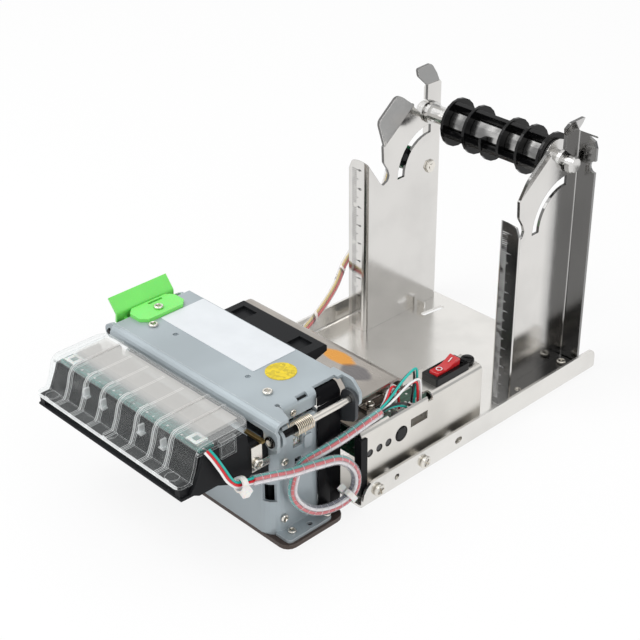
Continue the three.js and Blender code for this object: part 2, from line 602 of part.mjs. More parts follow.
// Paper bridge
const bridgeSkin = BRIDGE_TOP - BRIDGE_SHEET / 2
const LEG_X = 42.4
const LEG_FRONT = -38.6
const LEG_REAR = -19
const bridgeTop = alongX(sheetOutline([
  [BRIDGE_FRONT, bridgeSkin], [BRIDGE_REAR - BRIDGE_SHEET / 2, bridgeSkin, 3.4],
  [BRIDGE_REAR - BRIDGE_SHEET / 2, 41]
], BRIDGE_SHEET), -48.5, 48.5)
const rightLeg = alongY(sheetOutline([
  [LEG_X, bridgeSkin], [LEG_X, BOX_TOP + BRIDGE_SHEET / 2, 1.4], [48, BOX_TOP + BRIDGE_SHEET / 2]
], BRIDGE_SHEET, 3), LEG_FRONT, LEG_REAR)
const leftLeg = alongY(sheetOutline([
  [-LEG_X, bridgeSkin], [-LEG_X, floorTop + BRIDGE_SHEET / 2, 1.4], [-50, floorTop + BRIDGE_SHEET / 2]
], BRIDGE_SHEET, 3), LEG_FRONT, LEG_REAR)
add('guide_bridge', join(bridgeTop, rightLeg, leftLeg), STEEL, 0.3, 1)

// Printer frame
const frameHalf = FRAME_WIDTH / 2
const frameSkin = frameHalf - FRAME_SHEET / 2
const frameWalls = alongZ(sheetOutline([
  [14 - frameHalf, FRAME_REAR - FRAME_SHEET / 2], [-frameSkin, FRAME_REAR - FRAME_SHEET / 2, 8.25],
  [-frameSkin, FRAME_FRONT + FRAME_SHEET / 2, 6.25], [frameSkin, FRAME_FRONT + FRAME_SHEET / 2, 6.25],
  [frameSkin, FRAME_REAR - FRAME_SHEET / 2, 8.25], [frameHalf - 14, FRAME_REAR - FRAME_SHEET / 2]
], FRAME_SHEET, 5), PLATE_THICK, FRAME_WALL_TOP)
const sideTop = alongX([
  [-89.2, FRAME_WALL_TOP - 1], [-70.4, FRAME_WALL_TOP - 1], [-70.4, FRAME_SIDE_TOP, 2],
  [-89.2, FRAME_SIDE_TOP]
], frameHalf - FRAME_SHEET, frameHalf)
const footFlange = alongZ([
  [frameHalf - 1, -93.5], [frameHalf + 7.5, -93.5, 2], [frameHalf + 7.5, -65, 2], [frameHalf - 1, -74.5]
], PLATE_THICK, PLATE_THICK + FRAME_SHEET, [circle(frameHalf + 4.4, -79.1, 1.3, 10)])
// The ear that carries the hinge shaft goes up from the front wall.
const FRAME_EAR_RADIUS = 3.3
const hingeEar = alongY([
  [frameHalf - 8, 44.5], [frameHalf - 1, 44.5, 1], [frameHalf + 4.1, 47.6, 1.5],
  [frameHalf + 4.6, 51, 2],
  [HINGE_X + FRAME_EAR_RADIUS, HINGE_Z - FRAME_EAR_RADIUS + 0.6, 2.5],
  [HINGE_X + FRAME_EAR_RADIUS, HINGE_Z + FRAME_EAR_RADIUS, FRAME_EAR_RADIUS - 0.01],
  [HINGE_X - FRAME_EAR_RADIUS, HINGE_Z + FRAME_EAR_RADIUS, FRAME_EAR_RADIUS - 0.01],
  [frameHalf + 0.6, 52, 1], [frameHalf - 8, FRAME_WALL_TOP]
], FRAME_FRONT, FRAME_FRONT + FRAME_SHEET, [circle(HINGE_X, HINGE_Z, HINGE_SHAFT_RADIUS + GAP, 14)])
const sideTab = alongX(rectangle(-78, -73.6, 39.6, 46, 1), frameHalf - 0.5, frameHalf + 1)
const sideHoles = [
  box(frameHalf - 3, frameHalf + 1, -82.8, -79.2, 33.6, 36.6),
  box(frameHalf - 3, frameHalf + 1, -83.6, -78.2, 42, 47),
  box(frameHalf - 6, frameHalf + 1, -97, -92.2, 19, 28)
]
const frame = cut(
  join(frameWalls, sideTop, mirrored(sideTop), footFlange, mirrored(footFlange), hingeEar, sideTab),
  ...sideHoles, ...sideHoles.map(mirrored)
)
add('printer_frame', frame, BLUE_GREY, 0.45, 0.2)

const BRACKET_EAR_RADIUS = 4.3
add('hinge_bracket', join(
  alongY([
    [frameHalf - 12, 30], [frameHalf - 3, 30, 2], [frameHalf - 2.5, 42], [frameHalf + 0.5, 43, 2],
    [HINGE_X + 3.8, 46, 3], [HINGE_X + 3.8, HINGE_Z + BRACKET_EAR_RADIUS, 3.7],
    [HINGE_X - BRACKET_EAR_RADIUS, HINGE_Z + BRACKET_EAR_RADIUS, 4.2], [frameHalf - 2.6, 44.5, 2],
    [frameHalf - 12, 44.5]
  ], -56, -54.5, [circle(HINGE_X, HINGE_Z, HINGE_SHAFT_RADIUS + GAP, 14)]),
  box(frameHalf - 12, frameHalf - 9, FRAME_REAR, -55.5, 30, 41)
), 0x3b3d40, 0.45, 0.3)

// Inner chassis
const CHEEK_FRONT = -92
const CHEEK_REAR = -67.5
const CHASSIS_FLOOR = PLATE_THICK + 1.5
const PLATEN_TEETH = 11
const IDLER_TEETH = 20
const PINION_TEETH = 10
const centreDistance = (first, second) => (first + second) * GEAR_MODULE / 2
const IDLER_Y = PLATEN_Y - 5.5
const idlerReach = centreDistance(PLATEN_TEETH, IDLER_TEETH)
const IDLER_Z = PLATEN_Z - Math.sqrt(idlerReach ** 2 - (IDLER_Y - PLATEN_Y) ** 2)
const MOTOR_Y = IDLER_Y + 2.5
const motorReach = centreDistance(IDLER_TEETH, PINION_TEETH)
const MOTOR_Z = IDLER_Z - Math.sqrt(motorReach ** 2 - (MOTOR_Y - IDLER_Y) ** 2)
const cheek = alongX([
  [CHEEK_FRONT, PLATE_THICK], [CHEEK_REAR, PLATE_THICK], [CHEEK_REAR, 52, 1], [-71, 54, 1],
  [-86, 54, 1],
  [CHEEK_FRONT, 48, 1]
], CHEEK_INSIDE, CHEEK_INSIDE + CHEEK_SHEET, [
  circle(PLATEN_Y, PLATEN_Z, PLATEN_SHAFT_RADIUS + GAP, 14), circle(MOTOR_Y, MOTOR_Z, 2.2, 12)
])
const idlerPin = rodX(1.7, CHEEK_INSIDE + 0.5, frameHalf - FRAME_SHEET - GAP, IDLER_Y, IDLER_Z, 12)
const ramp = alongX([
  [BRIDGE_FRONT - GAP, BRIDGE_TOP - 1.7], [BRIDGE_FRONT - GAP, BRIDGE_TOP - 0.1], [-66.5, 53],
  [-69.3, 53],
  [-69.3, 51.5], [-66.8, 51.5]
], -34, 34)
const rampBar = box(-CHEEK_INSIDE - 0.5, CHEEK_INSIDE + 0.5, -69.3, -67.6, 50, 52.2)
const cutterPlate = 30.5 - CHEEK_INSIDE
add('printer_chassis', join(
  cheek, mirrored(cheek), idlerPin, ramp, rampBar,
  box(-CHEEK_INSIDE - 0.5, CHEEK_INSIDE + 0.5, CHEEK_FRONT, CHEEK_REAR, PLATE_THICK, CHASSIS_FLOOR),
  box(cutterPlate, cutterPlate + 1.5, CHEEK_FRONT + 2, CHEEK_REAR, PLATE_THICK, 31.5)
), 0x242427, 0.55)

// Platen, gears and motor
add('platen_roller', turnedX([
  [PLATEN_SHAFT_RADIUS, -PLATEN_LENGTH / 2], [PLATEN_RADIUS, -PLATEN_LENGTH / 2],
  [PLATEN_RADIUS, PLATEN_LENGTH / 2], [PLATEN_SHAFT_RADIUS, PLATEN_LENGTH / 2],
  [PLATEN_SHAFT_RADIUS, -PLATEN_LENGTH / 2]
], PLATEN_Y, PLATEN_Z, 20), 0x2c2c30, 0.7)
const shaftEnd = frameHalf - FRAME_SHEET - GAP
add('platen_shaft', turnedX([
  [0, -shaftEnd], [PLATEN_SHAFT_RADIUS, -shaftEnd], [PLATEN_SHAFT_RADIUS, GEAR_FACE], [2, GEAR_FACE],
  [2, shaftEnd], [0, shaftEnd]
], PLATEN_Y, PLATEN_Z, 20), 0xb5b5b7, 0.3, 1)

function gear(teeth, module, bore, x0, x1, y, z, phase, hubTo = null) {
  const pitch = teeth * module / 2
  const step = 2 * Math.PI / teeth
  const points = []
  for (let i = 0; i < teeth; i += 1) {
    const middle = phase + i * step
    const root = pitch - 1.2 * module
    const tip = pitch + 0.8 * module
    const corners = [[-0.26, root], [-0.1, tip], [0.1, tip], [0.26, root]]
    corners.forEach(([share, radius]) => {
      const angle = middle + share * step
      points.push(new THREE.Vector2(y + radius * Math.cos(angle), z + radius * Math.sin(angle)))
    })
  }
  const wheel = alongX(points, x0, x1, bore > 0 ? [circle(y, z, bore, 16)] : [])
  return hubTo === null ? wheel : join(wheel, rodX(1.5, hubTo, x0 + 0.5, y, z, 12))
}
const toIdler = Math.atan2(IDLER_Z - PLATEN_Z, IDLER_Y - PLATEN_Y)
const toMotor = Math.atan2(MOTOR_Z - IDLER_Z, MOTOR_Y - IDLER_Y)
const idlerPhase = toIdler + Math.PI + Math.PI / IDLER_TEETH
const idlerStep = 2 * Math.PI / IDLER_TEETH
const idlerOffset = (toMotor - idlerPhase) / idlerStep
const idlerShare = idlerOffset - Math.floor(idlerOffset)
const pinionPhase = toMotor + Math.PI + (idlerShare + 0.5) * 2 * Math.PI / PINION_TEETH
const gearBack = GEAR_FACE + GEAR_WIDTH
add('platen_gear', gear(
  PLATEN_TEETH, GEAR_MODULE, 2 + GAP, GEAR_FACE, gearBack, PLATEN_Y, PLATEN_Z, toIdler
), 0xe8e6df, 0.5)
add('idler_gear', gear(
  IDLER_TEETH, GEAR_MODULE, 2, GEAR_FACE, gearBack, IDLER_Y, IDLER_Z, idlerPhase
), 0xe8e6df, 0.5)
add('motor_pinion', gear(
  PINION_TEETH, GEAR_MODULE, 0, GEAR_FACE, gearBack, MOTOR_Y, MOTOR_Z, pinionPhase, CHEEK_INSIDE + GAP
), 0xb08d4c, 0.35, 1)
add('feed_motor', turnedX([
  [0, CHEEK_INSIDE - 25.5], [10.6, CHEEK_INSIDE - 25.5], [11, CHEEK_INSIDE - 24.9],
  [11, CHEEK_INSIDE - 0.6],
  [10.6, CHEEK_INSIDE], [0, CHEEK_INSIDE]
], MOTOR_Y, MOTOR_Z, 16), 0x8d8f92, 0.4, 0.8)

// Cutter
const BLADE_REAR = -87
const BLADE_THICK = 0.9
const RACK_MODULE = 0.8
const RACK_PITCH_Y = -85
const CUTTER_TEETH = 10
const CUTTER_Z = 23
const CUTTER_Y = RACK_PITCH_Y + CUTTER_TEETH * RACK_MODULE / 2
const rackPoints = [[BLADE_REAR - 0.2, 16], [RACK_PITCH_Y - 1, 16]]
const rackStep = Math.PI * RACK_MODULE
for (let i = -3; i <= 3; i += 1) {
  const z = CUTTER_Z + (i + 0.5) * rackStep
  rackPoints.push([RACK_PITCH_Y - 1, z - 0.26 * rackStep], [RACK_PITCH_Y + 0.65, z - 0.1 * rackStep],
    [RACK_PITCH_Y + 0.65, z + 0.1 * rackStep], [RACK_PITCH_Y - 1, z + 0.26 * rackStep])
}
rackPoints.push([RACK_PITCH_Y - 1, 36], [BLADE_REAR - 0.2, 36])
const rackLeft = 3.5 - CHEEK_INSIDE
const rackRight = rackLeft + 3
const rackPart = alongX(rackPoints, rackLeft, rackRight)
const bladePart = alongY([
  [-CHEEK_INSIDE + GAP, 33], [CHEEK_INSIDE - GAP, 33], [CHEEK_INSIDE - GAP, 51], [0, 52.4],
  [-CHEEK_INSIDE + GAP, 51]
], BLADE_REAR - BLADE_THICK, BLADE_REAR)
const rackSpine = box(rackLeft, rackRight, BLADE_REAR - BLADE_THICK, BLADE_REAR, 16, 34)
add('moving_blade', join(bladePart, rackPart, rackSpine), 0xc4c6c8, 0.25, 1)
const pinionEnd = rackRight - 0.2
add('cutter_pinion', gear(
  CUTTER_TEETH, RACK_MODULE, 0, rackLeft, pinionEnd, CUTTER_Y, CUTTER_Z, Math.PI
), 0xb08d4c, 0.35, 1)
add('cutter_motor', turnedX([
  [0, pinionEnd + GAP], [1.2, pinionEnd + GAP], [1.2, pinionEnd + 1.4], [6.4, pinionEnd + 1.4],
  [6.8, pinionEnd + 2], [6.8, cutterPlate], [0, cutterPlate]
], CUTTER_Y, CUTTER_Z, 12), 0x8d8f92, 0.4, 0.8)

// Hinged cover
const coverSkin = COVER_TOP - COVER_SHEET / 2
const coverUnder = COVER_TOP - COVER_SHEET
const SKIRT_FRONT = -88.2
const SKIRT_REAR = -69.5
const flatRight = COVER_RIGHT - 3
const tabRight = HINGE_X + 2.5
const coverFlat = alongZ([
  [COVER_LEFT, -96], [tabRight, -96], [tabRight, -91.8, 1], [COVER_RIGHT, SKIRT_FRONT - 1],
  [flatRight, SKIRT_FRONT - 1],
  [flatRight, SKIRT_REAR], [frameHalf - 3.5, SKIRT_REAR], [frameHalf - 3.5, -56.6],
  [frameHalf - 1.5, -56.6],
  [frameHalf - 1.5, -52.6], [frameHalf - 8, -52.6], [frameHalf - 8, COVER_REAR],
  [COVER_LEFT, COVER_REAR]
], coverUnder, COVER_TOP)
const rightBend = alongY(sheetOutline([
  [flatRight - 1, coverSkin], [COVER_RIGHT - COVER_SHEET / 2, coverSkin, 1.9],
  [COVER_RIGHT - COVER_SHEET / 2, COVER_SKIRT_BOTTOM]
], COVER_SHEET, 5), SKIRT_FRONT, SKIRT_REAR)
const frontBend = alongX(sheetOutline([
  [-90, coverSkin], [COVER_FRONT + COVER_SHEET / 2, coverSkin, 3.4], [COVER_FRONT + COVER_SHEET / 2, 59]
], COVER_SHEET, 5), COVER_LEFT, frameHalf)
const tabBend = alongX(sheetOutline([
  [-94, coverSkin], [COVER_FRONT + COVER_SHEET / 2, coverSkin, 3.4], [COVER_FRONT + COVER_SHEET / 2, 59]
], COVER_SHEET, 5), frameHalf - 1, tabRight)
const pivotHole = circle(HINGE_X, HINGE_Z, HINGE_SHAFT_RADIUS + GAP, 14)
const frontEar = alongY([
  [frameHalf - 6, 59], [frameHalf + 0.3, 59, 1], [frameHalf + 0.3, HINGE_Z - 4.1, 3.9],
  [HINGE_X + 3.9, HINGE_Z - 4.1, 3.9], [HINGE_X + 3.9, 59.6, 1], [tabRight, 61], [frameHalf - 6, 61]
], COVER_FRONT, COVER_FRONT + COVER_SHEET, [pivotHole])
const rearEar = alongY([
  [frameHalf - 8, coverUnder], [frameHalf - 3.4, coverUnder], [frameHalf + 0.2, 59, 2],
  [frameHalf + 0.4, HINGE_Z - 4.1, 4], [HINGE_X + 4.1, HINGE_Z - 4.1, 4], [HINGE_X + 4.1, 59.5, 2.5],
  [frameHalf + 4, COVER_TOP, 3], [frameHalf - 8, COVER_TOP]
], -54.1, -52.6, [pivotHole])
const pinHole = circle(LATCH_X, LATCH_Z, LATCH_PIN_RADIUS + GAP, 12)
const latchEar = (y0, y1) => alongY([
  [LATCH_X + 7.7, coverUnder + 0.2], [LATCH_X + 7.7, COVER_TOP - 0.2],
  [LATCH_X + 1.7, COVER_TOP - 0.2, 1],
  [LATCH_X - 3.3, 61.5, 3], [LATCH_X - 3.3, 56.1, 3], [LATCH_X + 3, 56.1, 2.5],
  [LATCH_X + 3.3, 61.4, 0.6]
], y0, y1, [pinHole])
const headScrewX = CHEEK_INSIDE - 5.2
const latchScrewX = LATCH_X + 8
const coverHoles = [
  ...[-headScrewX, headScrewX].map(x => rodZ(1.6, coverUnder - 1, COVER_TOP + 1, x, -85.4, 12)),
  rodZ(1.6, coverUnder - 1, COVER_TOP + 1, latchScrewX, -75.7, 12),
  box(flatRight + 0.7, COVER_RIGHT + 1, -79.5, -73.7, COVER_TOP - 2.1, COVER_TOP + 1),
  rodZ(1.1, coverUnder - 1, COVER_TOP + 1, flatRight + 0.6, SKIRT_FRONT - 0.6, 10),
  rodZ(1.3, coverUnder + 0.6, COVER_TOP + 1, -24.7, -83.1, 12),
  rodZ(1.3, coverUnder + 0.6, COVER_TOP + 1, 22.6, -83, 12)
]
const cover = cut(
  join(
    coverFlat, rightBend, frontBend, tabBend, frontEar, rearEar,
    latchEar(-97.2, -95.7), latchEar(-58.6, -57.1)
  ),
  ...coverHoles
)
add('top_cover', cover, BLUE_GREY, 0.42, 0.25)

add('hinge_shaft', join(
  rodY(HINGE_SHAFT_RADIUS, -100.9, -51.2, HINGE_X, HINGE_Z, 14),
  rodY(2.6, -52.3, -51.2, HINGE_X, HINGE_Z, 14), rodY(2.6, -100.5, -99.8, HINGE_X, HINGE_Z, 14)
), 0xd6d2c8, 0.2, 1)

// Torsion spring: round wire wound about the hinge shaft in one unbroken tube.
const SPRING_TURNS = 10
const SPRING_WIRE = 0.5
const SPRING_MEAN = 2.95
const SPRING_FRONT = -87.3
const SPRING_PITCH = 0.92
const springPoints = []
const springStart = Math.PI
const springSteps = SPRING_TURNS * 8
springPoints.push(new THREE.Vector3(HINGE_X - 1.1, SPRING_FRONT - 2.1, COVER_TOP - 2.3))
springPoints.push(new THREE.Vector3(HINGE_X - 2.6, SPRING_FRONT - 1.6, 59.4))
for (let i = 0; i <= springSteps; i += 1) {
  const angle = springStart + 2 * Math.PI * i / 8
  springPoints.push(new THREE.Vector3(
    HINGE_X + SPRING_MEAN * Math.cos(angle),
    SPRING_FRONT + SPRING_PITCH * i / 8,
    HINGE_Z + SPRING_MEAN * Math.sin(angle)
  ))
}
const springRear = SPRING_FRONT + SPRING_PITCH * SPRING_TURNS
springPoints.push(new THREE.Vector3(HINGE_X - 3.3, springRear + 0.25, 51.5))
springPoints.push(new THREE.Vector3(HINGE_X - 3.3, springRear + 0.25, 47.2))

// A five-sided tube with one ring at each point of a path.
function wireTube(points, radius, sides = 5) {
  const positions = []
  const index = []
  const count = points.length
  let side = new THREE.Vector3(0, 1, 0)
  points.forEach((point, i) => {
    const before = points[Math.max(i - 1, 0)]
    const after = points[Math.min(i + 1, count - 1)]
    const along = after.clone().sub(before).normalize()
    side = side.clone().addScaledVector(along, -side.dot(along)).normalize()
    const third = along.clone().cross(side)
    for (let k = 0; k < sides; k += 1) {
      const angle = 2 * Math.PI * k / sides
      const spot = point.clone().addScaledVector(side, radius * Math.cos(angle))
      positions.push(...spot.addScaledVector(third, radius * Math.sin(angle)).toArray())
    }
  })
  for (let i = 0; i + 1 < count; i += 1) {
    for (let k = 0; k < sides; k += 1) {
      const a = i * sides + k
      const b = i * sides + (k + 1) % sides
      index.push(a, b, a + sides, b, b + sides, a + sides)
    }
  }
  for (let k = 1; k + 1 < sides; k += 1) {
    index.push(0, k + 1, k)
    const last = (count - 1) * sides
    index.push(last, last + k, last + k + 1)
  }
  const geometry = new THREE.BufferGeometry()
  geometry.setAttribute('position', new THREE.Float32BufferAttribute(positions, 3))
  geometry.setIndex(index)
  return geometry
}

// Least gap of a wound wire to itself, between points at least a third of a turn apart.
function leastGap(points, wire, apart) {
  let least = Infinity
  for (let i = 0; i < points.length; i += 1) {
    for (let j = i + apart; j < points.length; j += 1) {
      least = Math.min(least, points[i].distanceTo(points[j]) - wire)
    }
  }
  return least
}
add('torsion_spring', wireTube(springPoints, SPRING_WIRE / 2), 0xcbbfae, 0.3, 1)
const springGap = leastGap(springPoints.slice(2, -2), SPRING_WIRE, 6)
console.log(`torsion spring least gap to itself: ${springGap.toFixed(3)} mm`)

// Latch
add('latch_plate', cut(alongZ([
  [LATCH_X + 0.3, -85], [LATCH_X + 3.3, -88], [LATCH_X + 10.1, -88], [LATCH_X + 13.1, -85],
  [LATCH_X + 13.1, -66],
  [LATCH_X + 10.1, -63], [LATCH_X + 3.3, -63], [LATCH_X + 0.3, -66]
], COVER_TOP, COVER_TOP + 1.7, [rectangle(LATCH_X + 1.4, LATCH_X + 2.8, -77, -69, 0.6)]),
rodZ(1.6, COVER_TOP - 1, COVER_TOP + 3, latchScrewX, -75.7, 12)), 0x3f9d5a, 0.4)
const gripWall = alongY(sheetOutline([
  [LATCH_X - 2.25, 58.6], [LATCH_X - 1.5, 65.2, 1.5], [LATCH_X - 6.6, 71.3]
], 1.2, 3), -92, -60)
const gripTrim = [[-93, -86], [-65.5, -59]].map(
  ([y0, y1]) => box(LATCH_X - 4.3, LATCH_X + 0.7, y0, y1, 57, 60.8)
)
const hookArm = (y0, y1) => alongY([
  [LATCH_X - 2.5, 58, 1], [LATCH_X - 2.5, 62.2, 0.5], [LATCH_X + 2.5, 62.2, 1],
  [LATCH_X + 7.5, 60.4, 0.8],
  [LATCH_X + 7.5, 48.2], [LATCH_X + 5.7, 48.2], [LATCH_X + 5.7, 49.8], [LATCH_X + 6, 50.4],
  [LATCH_X + 6, 57.5, 1],
  [LATCH_X + 1.7, 57.5, 1]
], y0, y1, [circle(LATCH_X, LATCH_Z, LATCH_PIN_RADIUS + GAP, 12)])
add('latch_lever', join(
  cut(gripWall, ...gripTrim), hookArm(-88.4, -86.9), hookArm(-61.9, -60.4)
), 0x3f9d5a, 0.4)
add('latch_pin', rodY(LATCH_PIN_RADIUS, -98, -56.4, LATCH_X, LATCH_Z, 12), 0x2a2a2c, 0.4)
add('latch_screw', turnedZ([
  [0, COVER_TOP - 3], [1.3, COVER_TOP - 3], [1.3, COVER_TOP + 1.7], [2.6, COVER_TOP + 1.7],
  [2.6, COVER_TOP + 2.4],
  [1.8, COVER_TOP + 3.2], [0, COVER_TOP + 3.2]
], latchScrewX, -75.7, 10), 0xd0cdc6, 0.25, 1)

// What rides on the cover
const guideSide = [
  [COVER_REAR, 57], [-41.5, 60.6], [-41.5, 64, 1.2], [COVER_REAR, 64]
]
const guidePockets = [[-23, -14], [13.6, 21.8]].map(
  ([x0, x1]) => box(x0, x1, -53.2, -45.4, 62.6, 65)
)
add('paper_inlet_guide', cut(alongX(guideSide, -26.5, 26.5), ...guidePockets), 0x1f1f22, 0.4)

const headHalf = CHEEK_INSIDE - 1.5
const headScrews = [-headScrewX, headScrewX]
add('print_head', cut(
  alongX([
    [-86, 57.6], [-79.5, 54.8], [-77, 54.3], [-75, 54.3], [-72, 54.9], [-66, 58],
    [-66, coverUnder], [-86, coverUnder]
  ], -headHalf, headHalf),
  ...headScrews.map(x => rodZ(1.6, 58.5, COVER_TOP, x, -83.8, 12)),
  ...headScrews.map(x => box(x - 1.6, x + 1.6, -87, -83.8, 58.5, COVER_TOP))
), 0xa9abad, 0.4, 0.8)
add('fixed_blade', join(
  alongX([[-89.3, 55.4], [-88.2, 55.1], [-88.2, coverUnder], [-89.3, coverUnder]], -headHalf, headHalf),
  box(-34, 34, -92, -88.4, coverUnder - 2, coverUnder)
), 0xc4c6c8, 0.25, 1)

const coverScrew = x => turnedZ([
  [0, 59.4], [1.3, 59.4], [1.3, COVER_TOP], [2.6, COVER_TOP], [2.6, COVER_TOP + 0.6],
  [1.7, COVER_TOP + 1.4],
  [0, COVER_TOP + 1.4]
], x, -85.4, 10)
add('cover_screw_left', coverScrew(-headScrewX), 0xd6cfc0, 0.25, 1)
add('cover_screw_right', coverScrew(headScrewX), 0xd6cfc0, 0.25, 1)
const labelOutline = rectangle(-40, 21.4, -79.1, -54.8, 0.8)
add('label_plate', alongZ(labelOutline, COVER_TOP, COVER_TOP + 0.2), 0xf2f2ef, 0.5)
add('round_sticker', rodZ(6.75, COVER_TOP, COVER_TOP + 0.2, 29.3, -70.7, 28), 0xc8b45a, 0.3, 0.7)

const CABLE_X = frameHalf + 0.55
const CABLE_FRONT = -68.8
const CABLE_REAR = -57.3
const CABLE_THICK = 0.5
add('flat_cable_cover', alongY(sheetOutline([
  [CABLE_X - 9, coverUnder - 0.6], [CABLE_X - 2.4, coverUnder - 0.6, 2], [CABLE_X, 59, 1.5],
  [CABLE_X, HINGE_Z + 0.9]
], CABLE_THICK, 3), CABLE_FRONT, CABLE_REAR), 0x1c1c1e, 0.5)
add('flat_cable_frame', alongY(sheetOutline([
  [CABLE_X, HINGE_Z + 0.6], [CABLE_X, 8, 2], [CABLE_X - 5, 4.6]
], CABLE_THICK, 3), -63.6, CABLE_REAR), 0x1c1c1e, 0.5)

// Bezel
const hoodHalf = HOOD_WIDTH / 2
const half = HOOD_SHEET / 2
const hoodPath = [
  [-136, LIP_TOP - half], [-135.1, LIP_TOP + 0.4, 1.2], [-133.2, 55.8, 8], [-132.1, 60, 6],
  [-130.8, HOOD_TOP - half, 3], [HOOD_REAR, HOOD_TOP - half]
]
const hoodShell = alongX(sheetOutline(hoodPath, HOOD_SHEET, 2), -hoodHalf, hoodHalf)
const lip = alongZ([
  [-hoodHalf, LIP_FRONT, 3], [hoodHalf, LIP_FRONT, 3], [hoodHalf, -134.6], [-hoodHalf, -134.6]
], LIP_TOP - 1.4, LIP_TOP)
const lipDiscs = [-40, 0.4, 40.3].map(x => rodZ(3, LIP_TOP - 1, LIP_TOP + 0.5, x, -138.3, 16))
const hoodSide = x0 => alongX([
  [-131.2, 60.6], [-129.6, HOOD_TOP - 0.6, 2.5], [HOOD_REAR, HOOD_TOP - 0.6], [HOOD_REAR, 61],
  [-120, 60.2]
], x0, x0 + HOOD_SHEET)
const RIB_RISE = 0.5
const RIB_WIDTH = 1
const shortPath = hoodPath.slice(0, 5).concat([[-126, HOOD_TOP - half]])
const rib = (path, x) => alongX(
  sheetOutline(path, HOOD_SHEET, 2, RIB_RISE, -half), x - RIB_WIDTH / 2, x + RIB_WIDTH / 2
)
const clipTab = join(
  box(hoodHalf + 0.9, hoodHalf + 2, -121, -113.4, 55.5, 63.4),
  box(hoodHalf - 0.5, hoodHalf + 1.5, -121, -113.4, 61, 63.4)
)
const ribs = [-23.3, -12, -1, 11.1].map(x => rib(shortPath, x)).concat(
  [-34.1, 22.5, 32.7].map(x => rib(hoodPath, x))
)
const cornerTools = [1, -1].map(side => {
  const outline = [
    [side * (hoodHalf + 1), HOOD_REAR + 1], [side * (hoodHalf - 4), HOOD_REAR + 1],
    [side * (hoodHalf - 4), HOOD_REAR], [side * (hoodHalf - 1.2), HOOD_REAR - 1.2],
    [side * hoodHalf, HOOD_REAR - 4], [side * (hoodHalf + 1), HOOD_REAR - 4]
  ]
  return alongZ(side > 0 ? outline : outline.slice().reverse(), 55, 70)
})
add('bezel_hood', cut(
  join(hoodShell, lip, ...lipDiscs, hoodSide(-hoodHalf), hoodSide(hoodHalf - HOOD_SHEET), ...ribs, clipTab),
  ...cornerTools
), 0xdfe2e4, 0.15)

const CHEEK_X = hoodHalf - 0.8
const BEZEL_SIDE = 1.5
const bezelCheek = alongX([
  [FRAME_FRONT - 0.2, 36], [FRAME_FRONT - 0.2, 54], [-106, 54], [-107, 59.6], [-129.2, 59.8, 0.5],
  [-130.6, 55.9],
  [-133.6, 49.3], [-136.4, 45.6], [-132.1, 43.2], [-122.8, 43.2], [-116, 40], [-106, 36]
], CHEEK_X, CHEEK_X + BEZEL_SIDE)
const bezelWall = box(CHEEK_X - 9.2, CHEEK_X + BEZEL_SIDE, FRAME_FRONT - 1.7, FRAME_FRONT, 36, 49.6)
const FLOOR_LEVEL = 45.1
const FLOOR_THICK = 1.5
const FLOOR_FRONT = -140.6
const bezelFloor = alongX([
  [FLOOR_FRONT, FLOOR_LEVEL - 1.2, 0.5], [-132, FLOOR_LEVEL - FLOOR_THICK], [-118, 47.4 - FLOOR_THICK],
  [-98, 49.6 - FLOOR_THICK], [-98, 49.6], [-118, 47.4], [-132, FLOOR_LEVEL],
  [FLOOR_FRONT, FLOOR_LEVEL, 0.5]
], -CHEEK_X - 0.5, CHEEK_X + 0.5)
const lipSupport = x0 => alongX([
  [-140.2, FLOOR_LEVEL - 0.4], [-133.8, FLOOR_LEVEL - 0.4], [-134.8, LIP_TOP - 1.4],
  [-140.2, LIP_TOP - 1.4]
], x0, x0 + 3)
add('bezel_base', join(
  bezelCheek, mirrored(bezelCheek), bezelWall, mirrored(bezelWall), bezelFloor,
  lipSupport(-46.9), lipSupport(43.9)
), 0x232327, 0.45)

const ledHalf = hoodHalf - HOOD_SHEET - GAP
add('led_board', join(
  box(-ledHalf, ledHalf, -128.6, -121.5, 60.4, 61.8),
  ...[-40.6, 40.2].map(x => box(x - 3.4, x + 3.4, -128.2, -122, 61.6, 63)),
  ...[-18, 0, 18].map(x => box(x - 1.6, x + 1.6, -128, -125, 61.6, 62.6))
), 0x2f9c94, 0.45)
add('bezel_bracket', join(
  box(CHEEK_X + BEZEL_SIDE, CHEEK_X + BEZEL_SIDE + 1.2, -105.8, -100.2, 41.2, 53),
  box(CHEEK_X + BEZEL_SIDE, CHEEK_X + BEZEL_SIDE + 1.2, -101, FRAME_FRONT - 0.3, 41.2, 45)
), 0xd2cec6, 0.25, 1)
add('bezel_screw', turnedX([
  [0, CHEEK_X + BEZEL_SIDE + 1.2], [2.5, CHEEK_X + BEZEL_SIDE + 1.2], [2.5, CHEEK_X + BEZEL_SIDE + 1.9],
  [1.7, CHEEK_X + BEZEL_SIDE + 2.7], [0, CHEEK_X + BEZEL_SIDE + 2.7]
], -103, 44.6, 14), 0xcfcac0, 0.25, 1)
add('brass_strip', box(40.5, 51.5, -101.6, -99.9, 54, 55.4), 0xb39a63, 0.35, 1)

